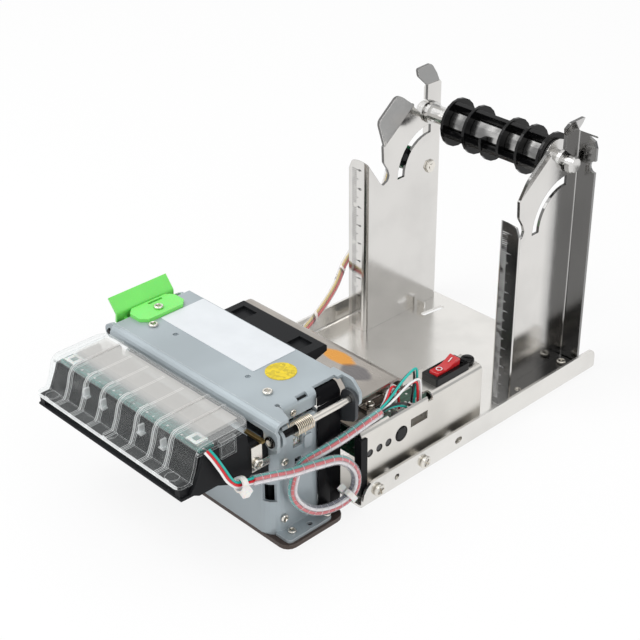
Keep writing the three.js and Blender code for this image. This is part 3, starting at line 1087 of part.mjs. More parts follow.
// Wiring
const HARNESS_RADIUS = 2.3
const fromFrame = ([x, y, z]) => [frameHalf + x, y, z]
const fromBox = ([x, y, z]) => [BOX_SIDE + x, y, z]
const harnessPath = [
  ...[
    [4.2, -109.3, 41.5], [5.2, -100, 39.3], [6.8, -90.6, 37.3], [8.4, -77.7, 35.5], [8.6, -65.5, 31.7],
    [8.6, -58, 24.3], [8.6, -55.5, 17.5], [8.4, -56.8, 11.4], [8, -61.9, 8.4], [7.4, -71.1, 8.6],
    [6.6, -79.8, 12], [5.4, -86.6, 19], [4.4, -88.4, 24.7], [3.8, -87, 29.4], [3.6, -84.9, 33.5],
    [3.6, -81, 35.9], [3.9, -72, 36.4], [4.4, -59.1, 37.4]
  ].map(fromFrame),
  ...[[-1.8, -48.4, 39.5], [-3, -37, 39.5]].map(fromBox)
]
const frontWires = [[-1.2, 0.9], [1.1, 0.6], [0, -1.1]]
const frontWirePath = [
  [hoodHalf + 1.4, -127.6, 62.6], [hoodHalf + 3.2, -126.2, 59.6],
  ...[
    [2.5, -123.2, 53.1], [3.5, -120.3, 46.8], [4, -117.4, 43.6], [4, -113.2, 42.4], [4.2, -108.6, 41.4]
  ].map(fromFrame)
]
const rearWirePaths = [
  [[-3, -38, 39.7], [-5.4, -30, 42], [-7.4, -25, 45], [-7.4, -22, 43], [-7.4, -20.5, 36],
  [-7.4, -20, 31]],
  [
    [-3, -38, 40.4], [-4.4, -29, 42.6], [-5.6, -19, 47.4], [-5.6, -12, 49.6], [-5.6, -11, 45],
    [-5.4, -12.5, 36],
    [-5.4, -13, 31]
  ],
  [[-3, -38, 39], [-3.4, -28, 41.6], [-4, -17, 45], [-4, -11.4, 44.4], [-3.8, -10.4, 39],
  [-3.8, -10.4, 30]],
  [[-3, -38, 39.2], [-2.4, -30, 40.2], [-2.4, -22, 37.6], [-3, -17, 33], [-4, -16, 30.5]]
].map(path => path.map(fromBox))
const WIRE_RADIUS = 0.65
const frontWireTubes = frontWires.map(([dx, dz]) => cord(
  frontWirePath.map(([x, y, z], i) => [x + (i === 0 ? dx * 0.6 : dx), y, z + (i > 4 ? dz : dz * 0.7)]),
  WIRE_RADIUS, 5, 10
))
const rearWireTubes = rearWirePaths.map(path => cord(path, WIRE_RADIUS, 5, 11))
add('wire_harness', join(cord(harnessPath, HARNESS_RADIUS, 8, 52), ...frontWireTubes, ...rearWireTubes),
  0xd9dadd, 0.35)

function tieAt(point, direction, radius, headTurn) {
  const ring = turnedZ([
    [radius, -1.3], [radius + 0.9, -1.3], [radius + 0.9, 1.3], [radius, 1.3], [radius, -1.3]
  ], 0, 0, 12)
  const head = box(radius + 0.3, radius + 3, -2, 2, -1.6, 1.6)
  head.rotateZ(headTurn)
  const upward = new THREE.Vector3(0, 0, 1)
  const turn = new THREE.Quaternion().setFromUnitVectors(upward, direction.clone().normalize())
  const place = new THREE.Matrix4().compose(point, turn, new THREE.Vector3(1, 1, 1))
  return join(ring.applyMatrix4(place), head.applyMatrix4(place))
}
const frontTiePlace = new THREE.Vector3(frameHalf + 4, -115.4, 42.8)
const rearTiePlace = new THREE.Vector3(frameHalf + 8.2, -59, 9.6)
add('cable_tie_front', tieAt(frontTiePlace, new THREE.Vector3(0, 1, -0.28), 2.5, 0.4), 0xf0efe9, 0.4)
add('cable_tie_rear', tieAt(rearTiePlace, new THREE.Vector3(-0.08, -0.9, -0.55), 2.7, 2.6), 0xf0efe9, 0.4)

add('sensor_cable', cord([
  [boardBack - 5 - 2 * GAP, 83.5, 86.2], [-53.6, 83.4, 86], [-55.4, 82.4, 81.5],
  [-55.8, 79.5, 72], [-56, 69, 54],
  [-56.2, 58, 43], [-56, 50, 36], [-53.5, 42, 28.5], [-50.5, 30, 22], [-47.5, 14, 16], [-44, -4, 12],
  [-36.5, -18, 8], [-35, -30, 6]
], 1.9, 8, 38), 0xd9dadd, 0.35)

// Skirt screws
const skirtScrew = y => turnedX([
  [0, BOX_SIDE - 2], [1.5, BOX_SIDE - 2], [1.5, trayHalf], [3, trayHalf], [3, trayHalf + 0.9],
  [2, trayHalf + 1.8],
  [0, trayHalf + 1.8]
], y, screwHeights, 10)
const sideNames = ['front', 'rear']
skirtScrews.forEach((y, i) => {
  add(`skirt_screw_right_${sideNames[i]}`, skirtScrew(y), 0xdad7d2, 0.2, 1)
  add(`skirt_screw_left_${sideNames[i]}`, mirrored(skirtScrew(y)), 0xdad7d2, 0.2, 1)
})

export default group
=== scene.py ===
"""Looks of an open-frame kiosk receipt printer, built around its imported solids.

The classes hold lengths in millimetres as they were measured, with Y zero behind the paper bridge.
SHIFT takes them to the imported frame, and every finished mesh is in metres.
"""

import logging
import math
from dataclasses import dataclass, field
from enum import Enum
from typing import Sequence, Union

import bpy
from mathutils import Matrix, Quaternion, Vector


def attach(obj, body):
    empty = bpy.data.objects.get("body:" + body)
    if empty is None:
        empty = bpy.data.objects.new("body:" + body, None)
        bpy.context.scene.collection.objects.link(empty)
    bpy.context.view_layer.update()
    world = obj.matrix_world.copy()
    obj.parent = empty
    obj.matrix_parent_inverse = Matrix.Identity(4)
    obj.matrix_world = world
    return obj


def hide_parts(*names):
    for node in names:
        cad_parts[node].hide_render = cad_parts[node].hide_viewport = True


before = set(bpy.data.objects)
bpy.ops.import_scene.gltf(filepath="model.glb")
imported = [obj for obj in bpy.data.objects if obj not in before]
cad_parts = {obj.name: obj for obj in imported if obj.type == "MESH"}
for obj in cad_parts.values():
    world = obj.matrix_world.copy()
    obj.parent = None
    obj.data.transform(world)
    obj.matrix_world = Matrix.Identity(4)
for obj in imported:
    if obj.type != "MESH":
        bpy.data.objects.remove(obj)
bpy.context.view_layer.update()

LOG = logging.getLogger("receipt_printer")
MM = 0.001
SHIFT = 16.2

Point = tuple[float, float, float]
Colour = tuple[float, float, float]
Number = Union[float, "Socket"]


def sized(point: Sequence[float]) -> Vector:
    """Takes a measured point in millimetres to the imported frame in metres.

    Args:
        point: X, Y and Z in millimetres.

    Returns:
        The same place in metres.
    """
    return Vector((point[0], point[1] + SHIFT, point[2])) * MM


def tint(hex_code: int) -> Colour:
    """Turns a screen colour such as 0xC0FFEE into linear red, green and blue."""
    parts = [(hex_code >> shift & 255) / 255 for shift in (16, 8, 0)]
    return tuple(c / 12.92 if c <= 0.04045 else ((c + 0.055) / 1.055) ** 2.4 for c in parts)


class Axis(Enum):
    """The direction in which a sheet was rolled or a rod was turned."""

    X = (0.04, 1.0, 1.0)
    Y = (1.0, 0.04, 1.0)
    Z = (1.0, 1.0, 0.04)
    NONE = (1.0, 1.0, 1.0)


class Facing(Enum):
    """The way that a screw's head looks."""

    UP = (0.0, 0.0, 1.0)
    RIGHT = (1.0, 0.0, 0.0)
    LEFT = (-1.0, 0.0, 0.0)
    FRONT = (0.0, -1.0, 0.0)


@dataclass
class PhotoCamera:
    """The camera that was solved from the photograph.

    Attributes:
        place: where the lens is, in metres.
        azimuth: the angle round the object, in degrees.
        elevation: the angle above the horizon, in degrees.
        roll: the tilt of the picture, in degrees.
        lens: the focal length for a 36 mm wide sensor.
    """

    place: Point = (0.41446, -0.39701, 0.39406)
    azimuth: float = 46.53
    elevation: float = 30.64
    roll: float = -0.56
    lens: float = 82.86

    def build(self) -> bpy.types.Object:
        """Makes the camera and sets it as the scene's own.

        Returns:
            The camera object.
        """
        a, e, r = (math.radians(v) for v in (self.azimuth, self.elevation, self.roll))
        right = Vector((math.cos(a), math.sin(a), 0))
        up = Vector((-math.sin(a) * math.sin(e), math.cos(a) * math.sin(e), math.cos(e)))
        back = Vector((math.sin(a) * math.cos(e), -math.cos(a) * math.cos(e), math.sin(e)))
        across = right * math.cos(r) + up * math.sin(r)
        upward = up * math.cos(r) - right * math.sin(r)
        data = bpy.data.cameras.new("photo_camera")
        data.sensor_width, data.lens = 36.0, self.lens
        data.clip_start, data.clip_end = 0.02, 20.0
        camera = bpy.data.objects.new("photo_camera", data)
        bpy.context.scene.collection.objects.link(camera)
        turn = Matrix((across, upward, back)).transposed().to_4x4()
        camera.matrix_world = Matrix.Translation(Vector(self.place)) @ turn
        bpy.context.scene.camera = camera
        return camera


class Socket:
    """A value in a node tree, on which Python's operators add Math nodes."""

    def __init__(self, paint: "Paint", link: bpy.types.NodeSocket) -> None:
        """Keeps the socket and the tree that it belongs to."""
        self.paint = paint
        self.link = link

    def maths(self, operation: str, first: Number, second: Number = 0.0) -> "Socket":
        """Adds one Math node.

        Args:
            operation: the Math node's operation.
            first: its first value.
            second: its second value, where it takes two.

        Returns:
            The node's result.
        """
        return self.paint.node("ShaderNodeMath", {"operation": operation}, {0: first, 1: second})

    def __add__(self, other: Number) -> "Socket":
        """The sum with another value."""
        return self.maths("ADD", self, other)

    def __radd__(self, other: Number) -> "Socket":
        """The sum with a value on the left."""
        return self.maths("ADD", other, self)

    def __sub__(self, other: Number) -> "Socket":
        """The difference from another value."""
        return self.maths("SUBTRACT", self, other)

    def __rsub__(self, other: Number) -> "Socket":
        """What is left of a value on the left."""
        return self.maths("SUBTRACT", other, self)

    def __mul__(self, other: Number) -> "Socket":
        """The product with another value."""
        return self.maths("MULTIPLY", self, other)

    def __rmul__(self, other: Number) -> "Socket":
        """The product with a value on the left."""
        return self.maths("MULTIPLY", other, self)

    def __truediv__(self, other: Number) -> "Socket":
        """The quotient by another value."""
        return self.maths("DIVIDE", self, other)

    def __mod__(self, other: Number) -> "Socket":
        """What is left after division by another value, never negative."""
        return self.maths("FLOORED_MODULO", self, other)

    def __gt__(self, other: Number) -> "Socket":
        """1 where this is greater than the other value, else 0."""
        return self.maths("GREATER_THAN", self, other)

    def __lt__(self, other: Number) -> "Socket":
        """1 where this is less than the other value, else 0."""
        return self.maths("LESS_THAN", self, other)

    def __abs__(self) -> "Socket":
        """The size without the sign."""
        return self.maths("ABSOLUTE", self)

    def between(self, low: float, high: float) -> "Socket":
        """1 between two values, else 0."""
        return (self > low) * (self < high)

    def ramp(self, low: float, high: float) -> "Socket":
        """A smooth step from 0 at one value to 1 at another.

        Args:
            low: where the step starts.
            high: where it ends.

        Returns:
            The step.
        """
        return self.paint.node(
            "ShaderNodeMapRange",
            {"interpolation_type": "SMOOTHSTEP", "clamp": True},
            {"Value": self, "From Min": low, "From Max": high},
        )


class Paint:
    """A node tree that is being made, for a material or for the world."""

    def __init__(self, tree: bpy.types.NodeTree) -> None:
        """Empties the tree."""
        self.tree = tree
        self.tree.nodes.clear()

    def node(
        self,
        kind: str,
        settings: dict | None = None,
        inputs: dict | None = None,
        output: int | str = 0,
    ) -> Socket:
        """Adds a node, sets it and links it.

        Args:
            kind: the node's type.
            settings: its own settings.
            inputs: values or sockets for its inputs, by name or number.
            output: which of its outputs is meant.

        Returns:
            That output.
        """
        node = self.tree.nodes.new(kind)
        for name, value in (settings or {}).items():
            setattr(node, name, value)
        for key, value in (inputs or {}).items():
            if isinstance(value, Socket):
                self.tree.links.new(value.link, node.inputs[key])
            elif isinstance(value, tuple) and node.inputs[key].type == "RGBA":
                node.inputs[key].default_value = (*value, 1.0)
            else:
                node.inputs[key].default_value = value
        return Socket(self, node.outputs[output] if len(node.outputs) else None)

    def place(self, stretch: Point = (1.0, 1.0, 1.0)) -> Socket:
        """The place on the object in millimetres.

        Args:
            stretch: how much each axis counts, to draw a pattern out along one.

        Returns:
            A vector.
        """
        spot = self.node("ShaderNodeTexCoord", output="Object")
        scale = tuple(s / MM for s in stretch)
        return self.node("ShaderNodeVectorMath", {"operation": "MULTIPLY"}, {0: spot, 1: scale})

    def axes(self) -> tuple[Socket, Socket, Socket]:
        """X, Y and Z in millimetres, measured as in the classes below.

        Returns:
            The three values.
        """
        spot = self.place()
        parts = [self.node("ShaderNodeSeparateXYZ", inputs={0: spot}, output=i) for i in range(3)]
        return parts[0], parts[1] - SHIFT, parts[2]

    def noise(self, size: float, detail: float = 2.0, stretch: Point = (1.0, 1.0, 1.0)) -> Socket:
        """Cloudy noise from 0 to 1.

        Args:
            size: the size of its clouds, in millimetres.
            detail: how many finer layers it has.
            stretch: how much each axis counts.

        Returns:
            The noise's strength.
        """
        return self.node(
            "ShaderNodeTexNoise",
            inputs={"Vector": self.place(stretch), "Scale": 1.0 / size, "Detail": detail},
        )

    def blend(self, share: Number, low: Colour | Socket, high: Colour | Socket) -> Socket:
        """A colour between two others.

        Args:
            share: 0 for the first and 1 for the second.
            low: the first colour.
            high: the second colour.

        Returns:
            The mixed colour.
        """
        return self.node(
            "ShaderNodeMix", {"data_type": "RGBA", "clamp_factor": True}, {0: share, 6: low, 7: high}, output=2
        )

    def rounded(self, radius: float) -> Socket:
        """The surface's direction with its edges rounded by a radius in millimetres."""
        return self.node("ShaderNodeBevel", {"samples": 4}, {"Radius": radius * MM}, output="Normal")

    def edges(self, radius: float) -> Socket:
        """1 on sharp edges and 0 on flats, over a radius in millimetres.

        Args:
            radius: how wide the edges are.

        Returns:
            The mask.
        """
        true = self.node("ShaderNodeNewGeometry", output="Normal")
        along = self.node(
            "ShaderNodeVectorMath", {"operation": "DOT_PRODUCT"}, {0: self.rounded(radius), 1: true}, output="Value"
        )
        return (1.0 - along).ramp(0.02, 0.3)

    def relief(self, height: Number, depth: float, radius: float) -> Socket:
        """A bumpy surface direction.

        Args:
            height: the pattern, from 0 to 1.
            depth: how deep it is, in millimetres.
            radius: how far edges are rounded, in millimetres.

        Returns:
            The direction for a shader's Normal.
        """
        return self.node(
            "ShaderNodeBump", inputs={"Height": height, "Distance": depth * MM, "Normal": self.rounded(radius)}
        )

    def shader(self, **values: Number | Colour) -> Socket:
        """A Principled shader, with its sockets' names written with underscores."""
        return self.node("ShaderNodeBsdfPrincipled", inputs={k.replace("_", " "): v for k, v in values.items()})

    def finish(self, surface: Socket, kind: str = "ShaderNodeOutputMaterial") -> None:
        """Links the surface to the tree's output."""
        self.node(kind, inputs={"Surface": surface})


@dataclass(frozen=True)
class Finish:
    """How a surface looks.

    Attributes:
        name: the material's name.
        colour: its main colour, linear.
        roughness: how matt it is.
        radius: how far its edges are rounded, in millimetres.
    """

    name: str
    colour: Colour
    roughness: float = 0.4
    radius: float = 0.2

    def surface(self, paint: Paint) -> Socket:
        """Makes the shader; each kind of finish has its own."""
        raise NotImplementedError

    def material(self) -> bpy.types.Material:
        """The material, made once.

        Returns:
            The material that is named after this finish.
        """
        label = f"{self.name}_finish"
        made = bpy.data.materials.get(label)
        if made is None:
            made = bpy.data.materials.new(label)
            made.use_nodes = True
            paint = Paint(made.node_tree)
            paint.finish(self.surface(paint))
        return made

    def dress(self, *nodes: str) -> None:
        """Puts the material on CAD nodes."""
        for node in nodes:
            self.coat(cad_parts[node])

    def coat(self, piece: bpy.types.Object) -> bpy.types.Object:
        """Puts the material on a piece.

        Args:
            piece: what is coated.

        Returns:
            The same piece.
        """
        piece.data.materials.clear()
        piece.data.materials.append(self.material())
        return piece


@dataclass(frozen=True)
class SheetSteel(Finish):
    """Bare steel sheet or rod with a rolled grain and faint smears.

    Attributes:
        grain: the direction of its grain.
        smear: how strong its smears are.
        edge: how bright the painted highlight on its edges is beside its faces; below 1 it is painted shade.
        dull: how bright a smear is beside clean metal.
        clouds: the size of the dull clouds and of the matt ones, in millimetres.
        streak: how wide the streaks of its grain are.
        depth: how deep they are.
    """

    grain: Axis = Axis.NONE
    smear: float = 0.5
    edge: float = 1.15
    dull: float = 0.72
    clouds: tuple[float, float] = (26.0, 17.0)
    streak: float = 0.35
    depth: float = 0.012

    def tone(self, paint: Paint) -> Socket | Colour:
        """The metal's colour over its surface."""
        dull = tuple(c * self.dull for c in self.colour)
        return paint.blend(paint.noise(self.clouds[0], 3).ramp(0.35, 0.75) * self.smear, self.colour, dull)

    def metal(self, paint: Paint) -> Number:
        """How much of the surface is bare metal."""
        return 1.0

    def surface(self, paint: Paint) -> Socket:
        """A metal shader with streaks along the grain.

        Args:
            paint: the material's node tree.

        Returns:
            The shader.
        """
        streaks = paint.noise(self.streak, 3, self.grain.value)
        smears = paint.noise(self.clouds[1], 4).ramp(0.4, 0.75)
        edge = paint.edges(self.radius)
        # the edges get a painted highlight, which is painted shade where edge is below 1
        rim = tuple(min(1.0, c * self.edge) for c in self.colour)
        return paint.shader(
            Base_Color=paint.blend(edge * 0.6, self.tone(paint), rim),
            Metallic=self.metal(paint),
            Roughness=self.roughness + streaks * 0.08 + smears * (0.14 * self.smear) - 0.04,
            Normal=paint.relief(streaks, self.depth, self.radius),
        )


@dataclass(frozen=True)
class RulerSteel(SheetSteel):
    """Polished steel with a millimetre rule etched on the uprights' front flanges.

    The right upright's flanges, and its plate towards the rear, carry a painted reflection of the dark room, and so
    do both plates' cut faces.

    Attributes:
        foot: the height of the rule's zero, in millimetres.
        line: half a line's width.
        reach: how long a millimetre's line is, and how much longer a five's and a ten's are.
        flange_face: a Y just behind the flanges' front faces.
        edges_x: where each rule starts, in X.
        span: the heights between which it is etched.
        right: the X beyond which the right upright lies.
        flange: the X beyond which its front flange lies.
        rear: where the right plate turns grey, as two Y.
        rear_flange: the Y behind which the rear flange lies.
        bend: how far the front flange's bend reaches back.
    """

    foot: float = 1.2
    line: float = 0.22
    reach: tuple[float, float, float] = (3.0, 1.2, 1.4)
    flange_face: float = 51.3
    edges_x: tuple[float, float] = (-51.2, 44.2)
    span: tuple[float, float] = (3.0, 92.0)
    right: float = 42.5
    flange: float = 43.6
    # rear: where the right plate's painted reflection turns grey, as two Y.
    rear: tuple[float, float] = (82.0, 91.0)
    rear_flange: float = 103.8
    bend: float = 1.5

    def ticks(self, paint: Paint) -> Socket:
        """1 on the rule's lines, which are rubbed away in places.

        Args:
            paint: the material's node tree.

        Returns:
            The mask.
        """
        x, y, z = paint.axes()
        height = z - self.foot
        line, five, ten = (abs(height % gap - gap / 2) > gap / 2 - self.line for gap in (1.0, 5.0, 10.0))
        short, five_more, ten_more = self.reach
        reach = short + five * five_more + ten * ten_more
        mask = 0.0
        for start in self.edges_x:
            mask = ((x - start) / reach).between(0.0, 1.0) * line + mask
        mask = mask * (y < self.flange_face) * z.between(*self.span)
        return mask * paint.noise(3.5, 2).ramp(0.25, 0.55)

    def metal(self, paint: Paint) -> Socket:
        """Bare metal everywhere but on the right rule's pale lines."""
        x, _, _ = paint.axes()
        return 1.0 - self.ticks(paint) * (x > 0.0)

    def tone(self, paint: Paint) -> Socket:
        """The metal's colour with painted reflections of the dark room, and etched lines, dark on bright steel and
        bright on the painted dark.

        Args:
            paint: the material's node tree.

        Returns:
            The colour.
        """
        x, y, _ = paint.axes()
        front = y < self.flange_face
        right = x > self.right
        face = paint.node("ShaderNodeNewGeometry", output="Normal")
        sideways = paint.node("ShaderNodeSeparateXYZ", inputs={0: face}, output=0)
        # painted reflection of the dark room on the plates' cut faces
        cut = (abs(sideways) < 0.25) * y.between(self.flange_face + self.bend, self.rear_flange)
        metal = SheetSteel.tone(self, paint)
        # painted reflections of the dark room on the right upright and on the cut faces
        painted_reflections = (
            (right * y.ramp(*self.rear) * 0.55, (0.3, 0.3, 0.3)),
            (right * (y > self.rear_flange) * 0.75, (0.2, 0.2, 0.2)),
            ((x > self.flange) * front * 0.92, (0.07, 0.072, 0.075)),
            (cut * 0.85, (0.09, 0.09, 0.09)),
        )
        for share, shade in painted_reflections:
            metal = paint.blend(share, metal, shade)
        etched = paint.blend(right, (0.12, 0.12, 0.12), (0.62, 0.62, 0.62))
        return paint.blend(self.ticks(paint) * 0.85, metal, etched)


@dataclass(frozen=True)
class PivotSteel(SheetSteel):
    """A bright shaft with painted shade under its spring, and on its front head painted shade round a bright
    middle.

    Attributes:
        head: the Y in front of which the head lies, in millimetres.
        bright: the Y behind which the shaft is bright.
        centre: the shaft's X and Z.
        core: the radius of the bright middle.
        black: the colour of the painted shade.
    """

    head: float = -99.7
    bright: float = -77.9
    centre: tuple[float, float] = (54.7, 55.7)
    core: float = 1.4
    black: Colour = (0.012, 0.012, 0.013)

    def tone(self, paint: Paint) -> Socket:
        """The metal's colour with the painted shade on the head and under the spring.

        Args:
            paint: the material's node tree.

        Returns:
            The colour.
        """
        x, y, z = paint.axes()
        across, up = x - self.centre[0], z - self.centre[1]
        # painted shade: a ring round the head's bright middle where its hole lies in shadow, and a band where the
        # spring shades the shaft
        head_shade = ((across * across + up * up) > self.core**2) * (y < self.head)
        dark = head_shade + y.between(self.head, self.bright)
        return paint.blend(dark, SheetSteel.tone(self, paint), self.black)


@dataclass(frozen=True)
class SpindleSteel(SheetSteel):
    """A turned rod that lies in the shade of its hub.

    Attributes:
        shaded: half the length of the stretch in the hub, in millimetres.
        shade: the colour that the steel mirrors there.
    """

    shaded: float = 31.0
    shade: Colour = (0.12, 0.12, 0.12)

    def tone(self, paint: Paint) -> Socket:
        """The metal's colour, darker in the hub.

        Args:
            paint: the material's node tree.

        Returns:
            The colour.
        """
        x, _, _ = paint.axes()
        inside = abs(x) < self.shaded
        cloud = paint.noise(9, 1).ramp(0.35, 0.65)
        return paint.blend(inside * (0.9 - cloud * 0.5), SheetSteel.tone(self, paint), self.shade)


@dataclass(frozen=True)
class BridgeSteel(SheetSteel):
    """Steel of the paper bridge, with an amber patch and a thumb's smudge beside it.

    Attributes:
        stain: the amber patch's middle and half its size in X and Y, its colour and its strength.
        smudge: the same for the thumb's smudge.
        ridge: how much stronger the smudge is on its ridges.
    """

    stain: tuple = ((18.3, -26.5), (9.5, 4.2), (0.80, 0.36, 0.06), 0.95)
    smudge: tuple = ((32.5, -30.0), (8.5, 5.0), (0.08, 0.08, 0.1), 0.45)
    ridge: float = 0.4

    def tone(self, paint: Paint) -> Socket:
        """The metal's colour with both marks.

        Args:
            paint: the material's node tree.

        Returns:
            The colour.
        """
        x, y, _ = paint.axes()
        wobble = paint.noise(5, 3) - 0.5
        ridges = paint.node(
            "ShaderNodeTexWave",
            {"wave_type": "RINGS", "rings_direction": "Z"},
            {"Vector": paint.place((1.0, 1.0, 0.0)), "Scale": 0.34, "Distortion": 3.0, "Detail": 1.0},
            output="Fac",
        )
        colour = SheetSteel.tone(self, paint)
        for mark, more in ((self.stain, 0.0), (self.smudge, ridges * self.ridge)):
            (cx, cy), (rx, ry), shade, strength = mark
            across, along = (x - cx) / rx, (y - cy) / ry
            near = 1.0 - (across * across + along * along + wobble * 0.7).ramp(0.55, 1.25)
            colour = paint.blend(near * (strength + more), colour, shade)
        return colour


@dataclass(frozen=True)
class PaintedSteel(Finish):
    """Sheet steel under a thin satin coat, paler along its edges, partly from wear and partly as a painted
    highlight.

    Attributes:
        metallic: how much of the metal shows through.
        worn: the colour of its paler edges, partly bare edges and partly a painted highlight.
        cloud: the size of the darker clouds, in millimetres.
        grit: the size of the paint's grain.
        depth: how deep that grain is.
    """

    metallic: float = 0.25
    worn: Colour = (0.72, 0.74, 0.75)
    cloud: float = 30.0
    grit: float = 0.25
    depth: float = 0.01

    def surface(self, paint: Paint) -> Socket:
        """A satin shader with fine grain and paler edges.

        Args:
            paint: the material's node tree.

        Returns:
            The shader.
        """
        cloud = paint.noise(self.cloud, 2)
        grain = paint.noise(self.grit, 2)
        dark = tuple(c * 0.86 for c in self.colour)
        base = paint.blend(cloud.ramp(0.3, 0.7), dark, self.colour)
        return paint.shader(
            # paler edges: partly wear, partly a painted highlight
            Base_Color=paint.blend(paint.edges(self.radius) * 0.65, base, self.worn),
            Metallic=self.metallic,
            Roughness=self.roughness + grain * 0.08,
            Normal=paint.relief(grain, self.depth, self.radius),
        )


@dataclass(frozen=True)
class Moulded(Finish):
    """Moulded plastic or rubber with a fine spark texture.

    Attributes:
        grain: how deep the texture is, in millimetres.
        gloss: the strength of its clear coat.
        soft: how much light goes in and out again, as in white nylon.
        index: how strongly it bends light, which sets how much it mirrors.
        grit: the size of the texture's grains, in millimetres.
        flow: the size of the darker clouds.
    """

    grain: float = 0.02
    gloss: float = 0.0
    soft: float = 0.0
    index: float = 1.45
    grit: float = 0.3
    flow: float = 9.0

    def surface(self, paint: Paint) -> Socket:
        """A plastic shader whose edges are a little paler, partly from wear and partly as a painted highlight.

        Args:
            paint: the material's node tree.

        Returns:
            The shader.
        """
        grit = paint.noise(self.grit, 2)
        flow = paint.noise(self.flow, 2)
        pale = tuple(min(1.0, c * 1.5 + 0.02) for c in self.colour)
        dark = tuple(c * 0.88 for c in self.colour)
        base = paint.blend(flow, dark, self.colour)
        return paint.shader(
            Base_Color=paint.blend(paint.edges(self.radius) * 0.5, base, pale),
            Roughness=self.roughness + grit * 0.1 - 0.05,
            Coat_Weight=self.gloss,
            Subsurface_Weight=self.soft,
            Subsurface_Scale=0.001,
            IOR=self.index,
            Normal=paint.relief(grit, self.grain, self.radius),
        )


@dataclass(frozen=True)
class ClearPlastic(Finish):
    """Clear moulded plastic: see-through face on, milky when seen edge on and where it is frosted, with a painted
    highlight on its edges.

    Attributes:
        haze: how milky it is everywhere.
        frost_top: the height above which it is frosted, in millimetres.
        frost: how milky the frosted part is.
        ribs: the X of its ribs, whose sides get a painted highlight.
        rib_half: half a rib's width.
        rib_end: the Y behind which the ribs' sides no longer show.
        ribs_show: how strong the painted highlight on the ribs' sides and on the lip's rim is.
        rim: the Y in front of which the lip's rim lies.
        window_half: half the frosted panel's width.
        window_front: where the frosting fades in behind the front edge, as two Y.
        window_rear: the Y where it ends.
        frost_tone: the frosted part's colour.
    """

    haze: float = 0.02
    frost_top: float = 63.2
    frost: float = 0.55
    ribs: tuple[float, ...] = (-34.1, -23.3, -12.0, -1.0, 11.1, 22.5, 32.7)
    rib_half: float = 0.56
    rib_end: float = -108.0
    ribs_show: float = 1.0
    rim: float = -141.0
    window_half: float = 43.0
    window_front: tuple[float, float] = (-127.0, -119.5)
    window_rear: float = -106.5
    frost_tone: Colour = (0.58, 0.565, 0.54)

    def surface(self, paint: Paint) -> Socket:
        """A mix of nothing and a glossy white, with painted highlights on the edges, the ribs' sides and the lip's
        rim.

        Args:
            paint: the material's node tree.

        Returns:
            The shader.
        """
        x, y, z = paint.axes()
        facing = paint.node("ShaderNodeLayerWeight", inputs={"Blend": 0.5}, output="Facing")
        window = (abs(x) < self.window_half) * y.ramp(*self.window_front) * (y < self.window_rear)
        frosted = (z > self.frost_top) * (window * 0.8 + 0.2) * self.frost
        patches = paint.noise(7, 2).ramp(0.5, 0.9) * 0.06
        grazing = facing * facing * facing
        # painted highlight on the ribs' sides and the lip's rim
        rib = 0.0
        for middle in self.ribs:
            rib = abs(x - middle).between(self.rib_half * 0.55, self.rib_half) + rib
        rib = (rib * (y < self.rib_end) + (y < self.rim)) * (self.ribs_show * 0.6)
        # the edges' share is a painted highlight
        amount = grazing * 0.35 + self.haze + frosted + patches + rib + paint.edges(self.radius) * 0.95
        solid = paint.shader(
            Base_Color=paint.blend(frosted * 1.5, self.colour, self.frost_tone),
            Roughness=self.roughness + frosted * 0.3,
            Normal=paint.relief(patches, 0.05, self.radius),
        )
        clear = paint.node("ShaderNodeBsdfTransparent", inputs={"Color": (0.97, 0.98, 0.98)})
        share = paint.node("ShaderNodeClamp", inputs={"Value": amount})
        return paint.node("ShaderNodeMixShader", inputs={0: share, 1: clear, 2: solid})


@dataclass(frozen=True)
class WrapFilm(Finish):
    """Thin clear film wound round wires, with its seams showing.

    Attributes:
        seam: how far apart its seams are, in millimetres.
        length: the tube's length, in millimetres.
        haze: how milky it is.
        lap: the share of a turn that the seam takes, and its shadow after it.
    """

    seam: float = 6.3
    length: float = 300.0
    haze: float = 0.3
    lap: float = 0.05

    def surface(self, paint: Paint) -> Socket:
        """A mix of nothing and a glossy white, with whiter seams along the tube's own UV map.

        Args:
            paint: the material's node tree.

        Returns:
            The shader.
        """
        spot = paint.node("ShaderNodeUVMap")
        across, along = (paint.node("ShaderNodeSeparateXYZ", inputs={0: spot}, output=i) for i in (1, 0))
        wound = (along * (self.length / self.seam) + across * 0.25) % 1.0
        seam = wound < self.lap
        shadow = wound.between(self.lap, self.lap * 2)
        facing = paint.node("ShaderNodeLayerWeight", inputs={"Blend": 0.3}, output="Facing")
        amount = facing * 0.25 + self.haze + seam * 0.6 + shadow * 0.3
        colour = paint.blend(shadow, self.colour, (0.2, 0.2, 0.22))
        solid = paint.shader(Base_Color=colour, Roughness=self.roughness)
        clear = paint.node("ShaderNodeBsdfTransparent", inputs={"Color": (0.97, 0.97, 0.98)})
        share = paint.node("ShaderNodeClamp", inputs={"Value": amount})
        return paint.node("ShaderNodeMixShader", inputs={0: share, 1: clear, 2: solid})


@dataclass(frozen=True)
class Foil(Finish):
    """Crinkled gold foil."""

    def surface(self, paint: Paint) -> Socket:
        """A metallic shader with small facets of two golds.

        Args:
            paint: the material's node tree.

        Returns:
            The shader.
        """
        facets = paint.node(
            "ShaderNodeTexVoronoi", inputs={"Vector": paint.place(), "Scale": 0.8}, output="Color"
        )
        shade = paint.node("ShaderNodeSeparateColor", inputs={0: facets})
        pale = tuple(min(1.0, c * 1.5) for c in self.colour)
        return paint.shader(
            Base_Color=paint.blend(shade, self.colour, pale),
            Metallic=0.3,
            Roughness=self.roughness + shade * 0.2,
            Normal=paint.relief(shade, 0.16, self.radius),
        )


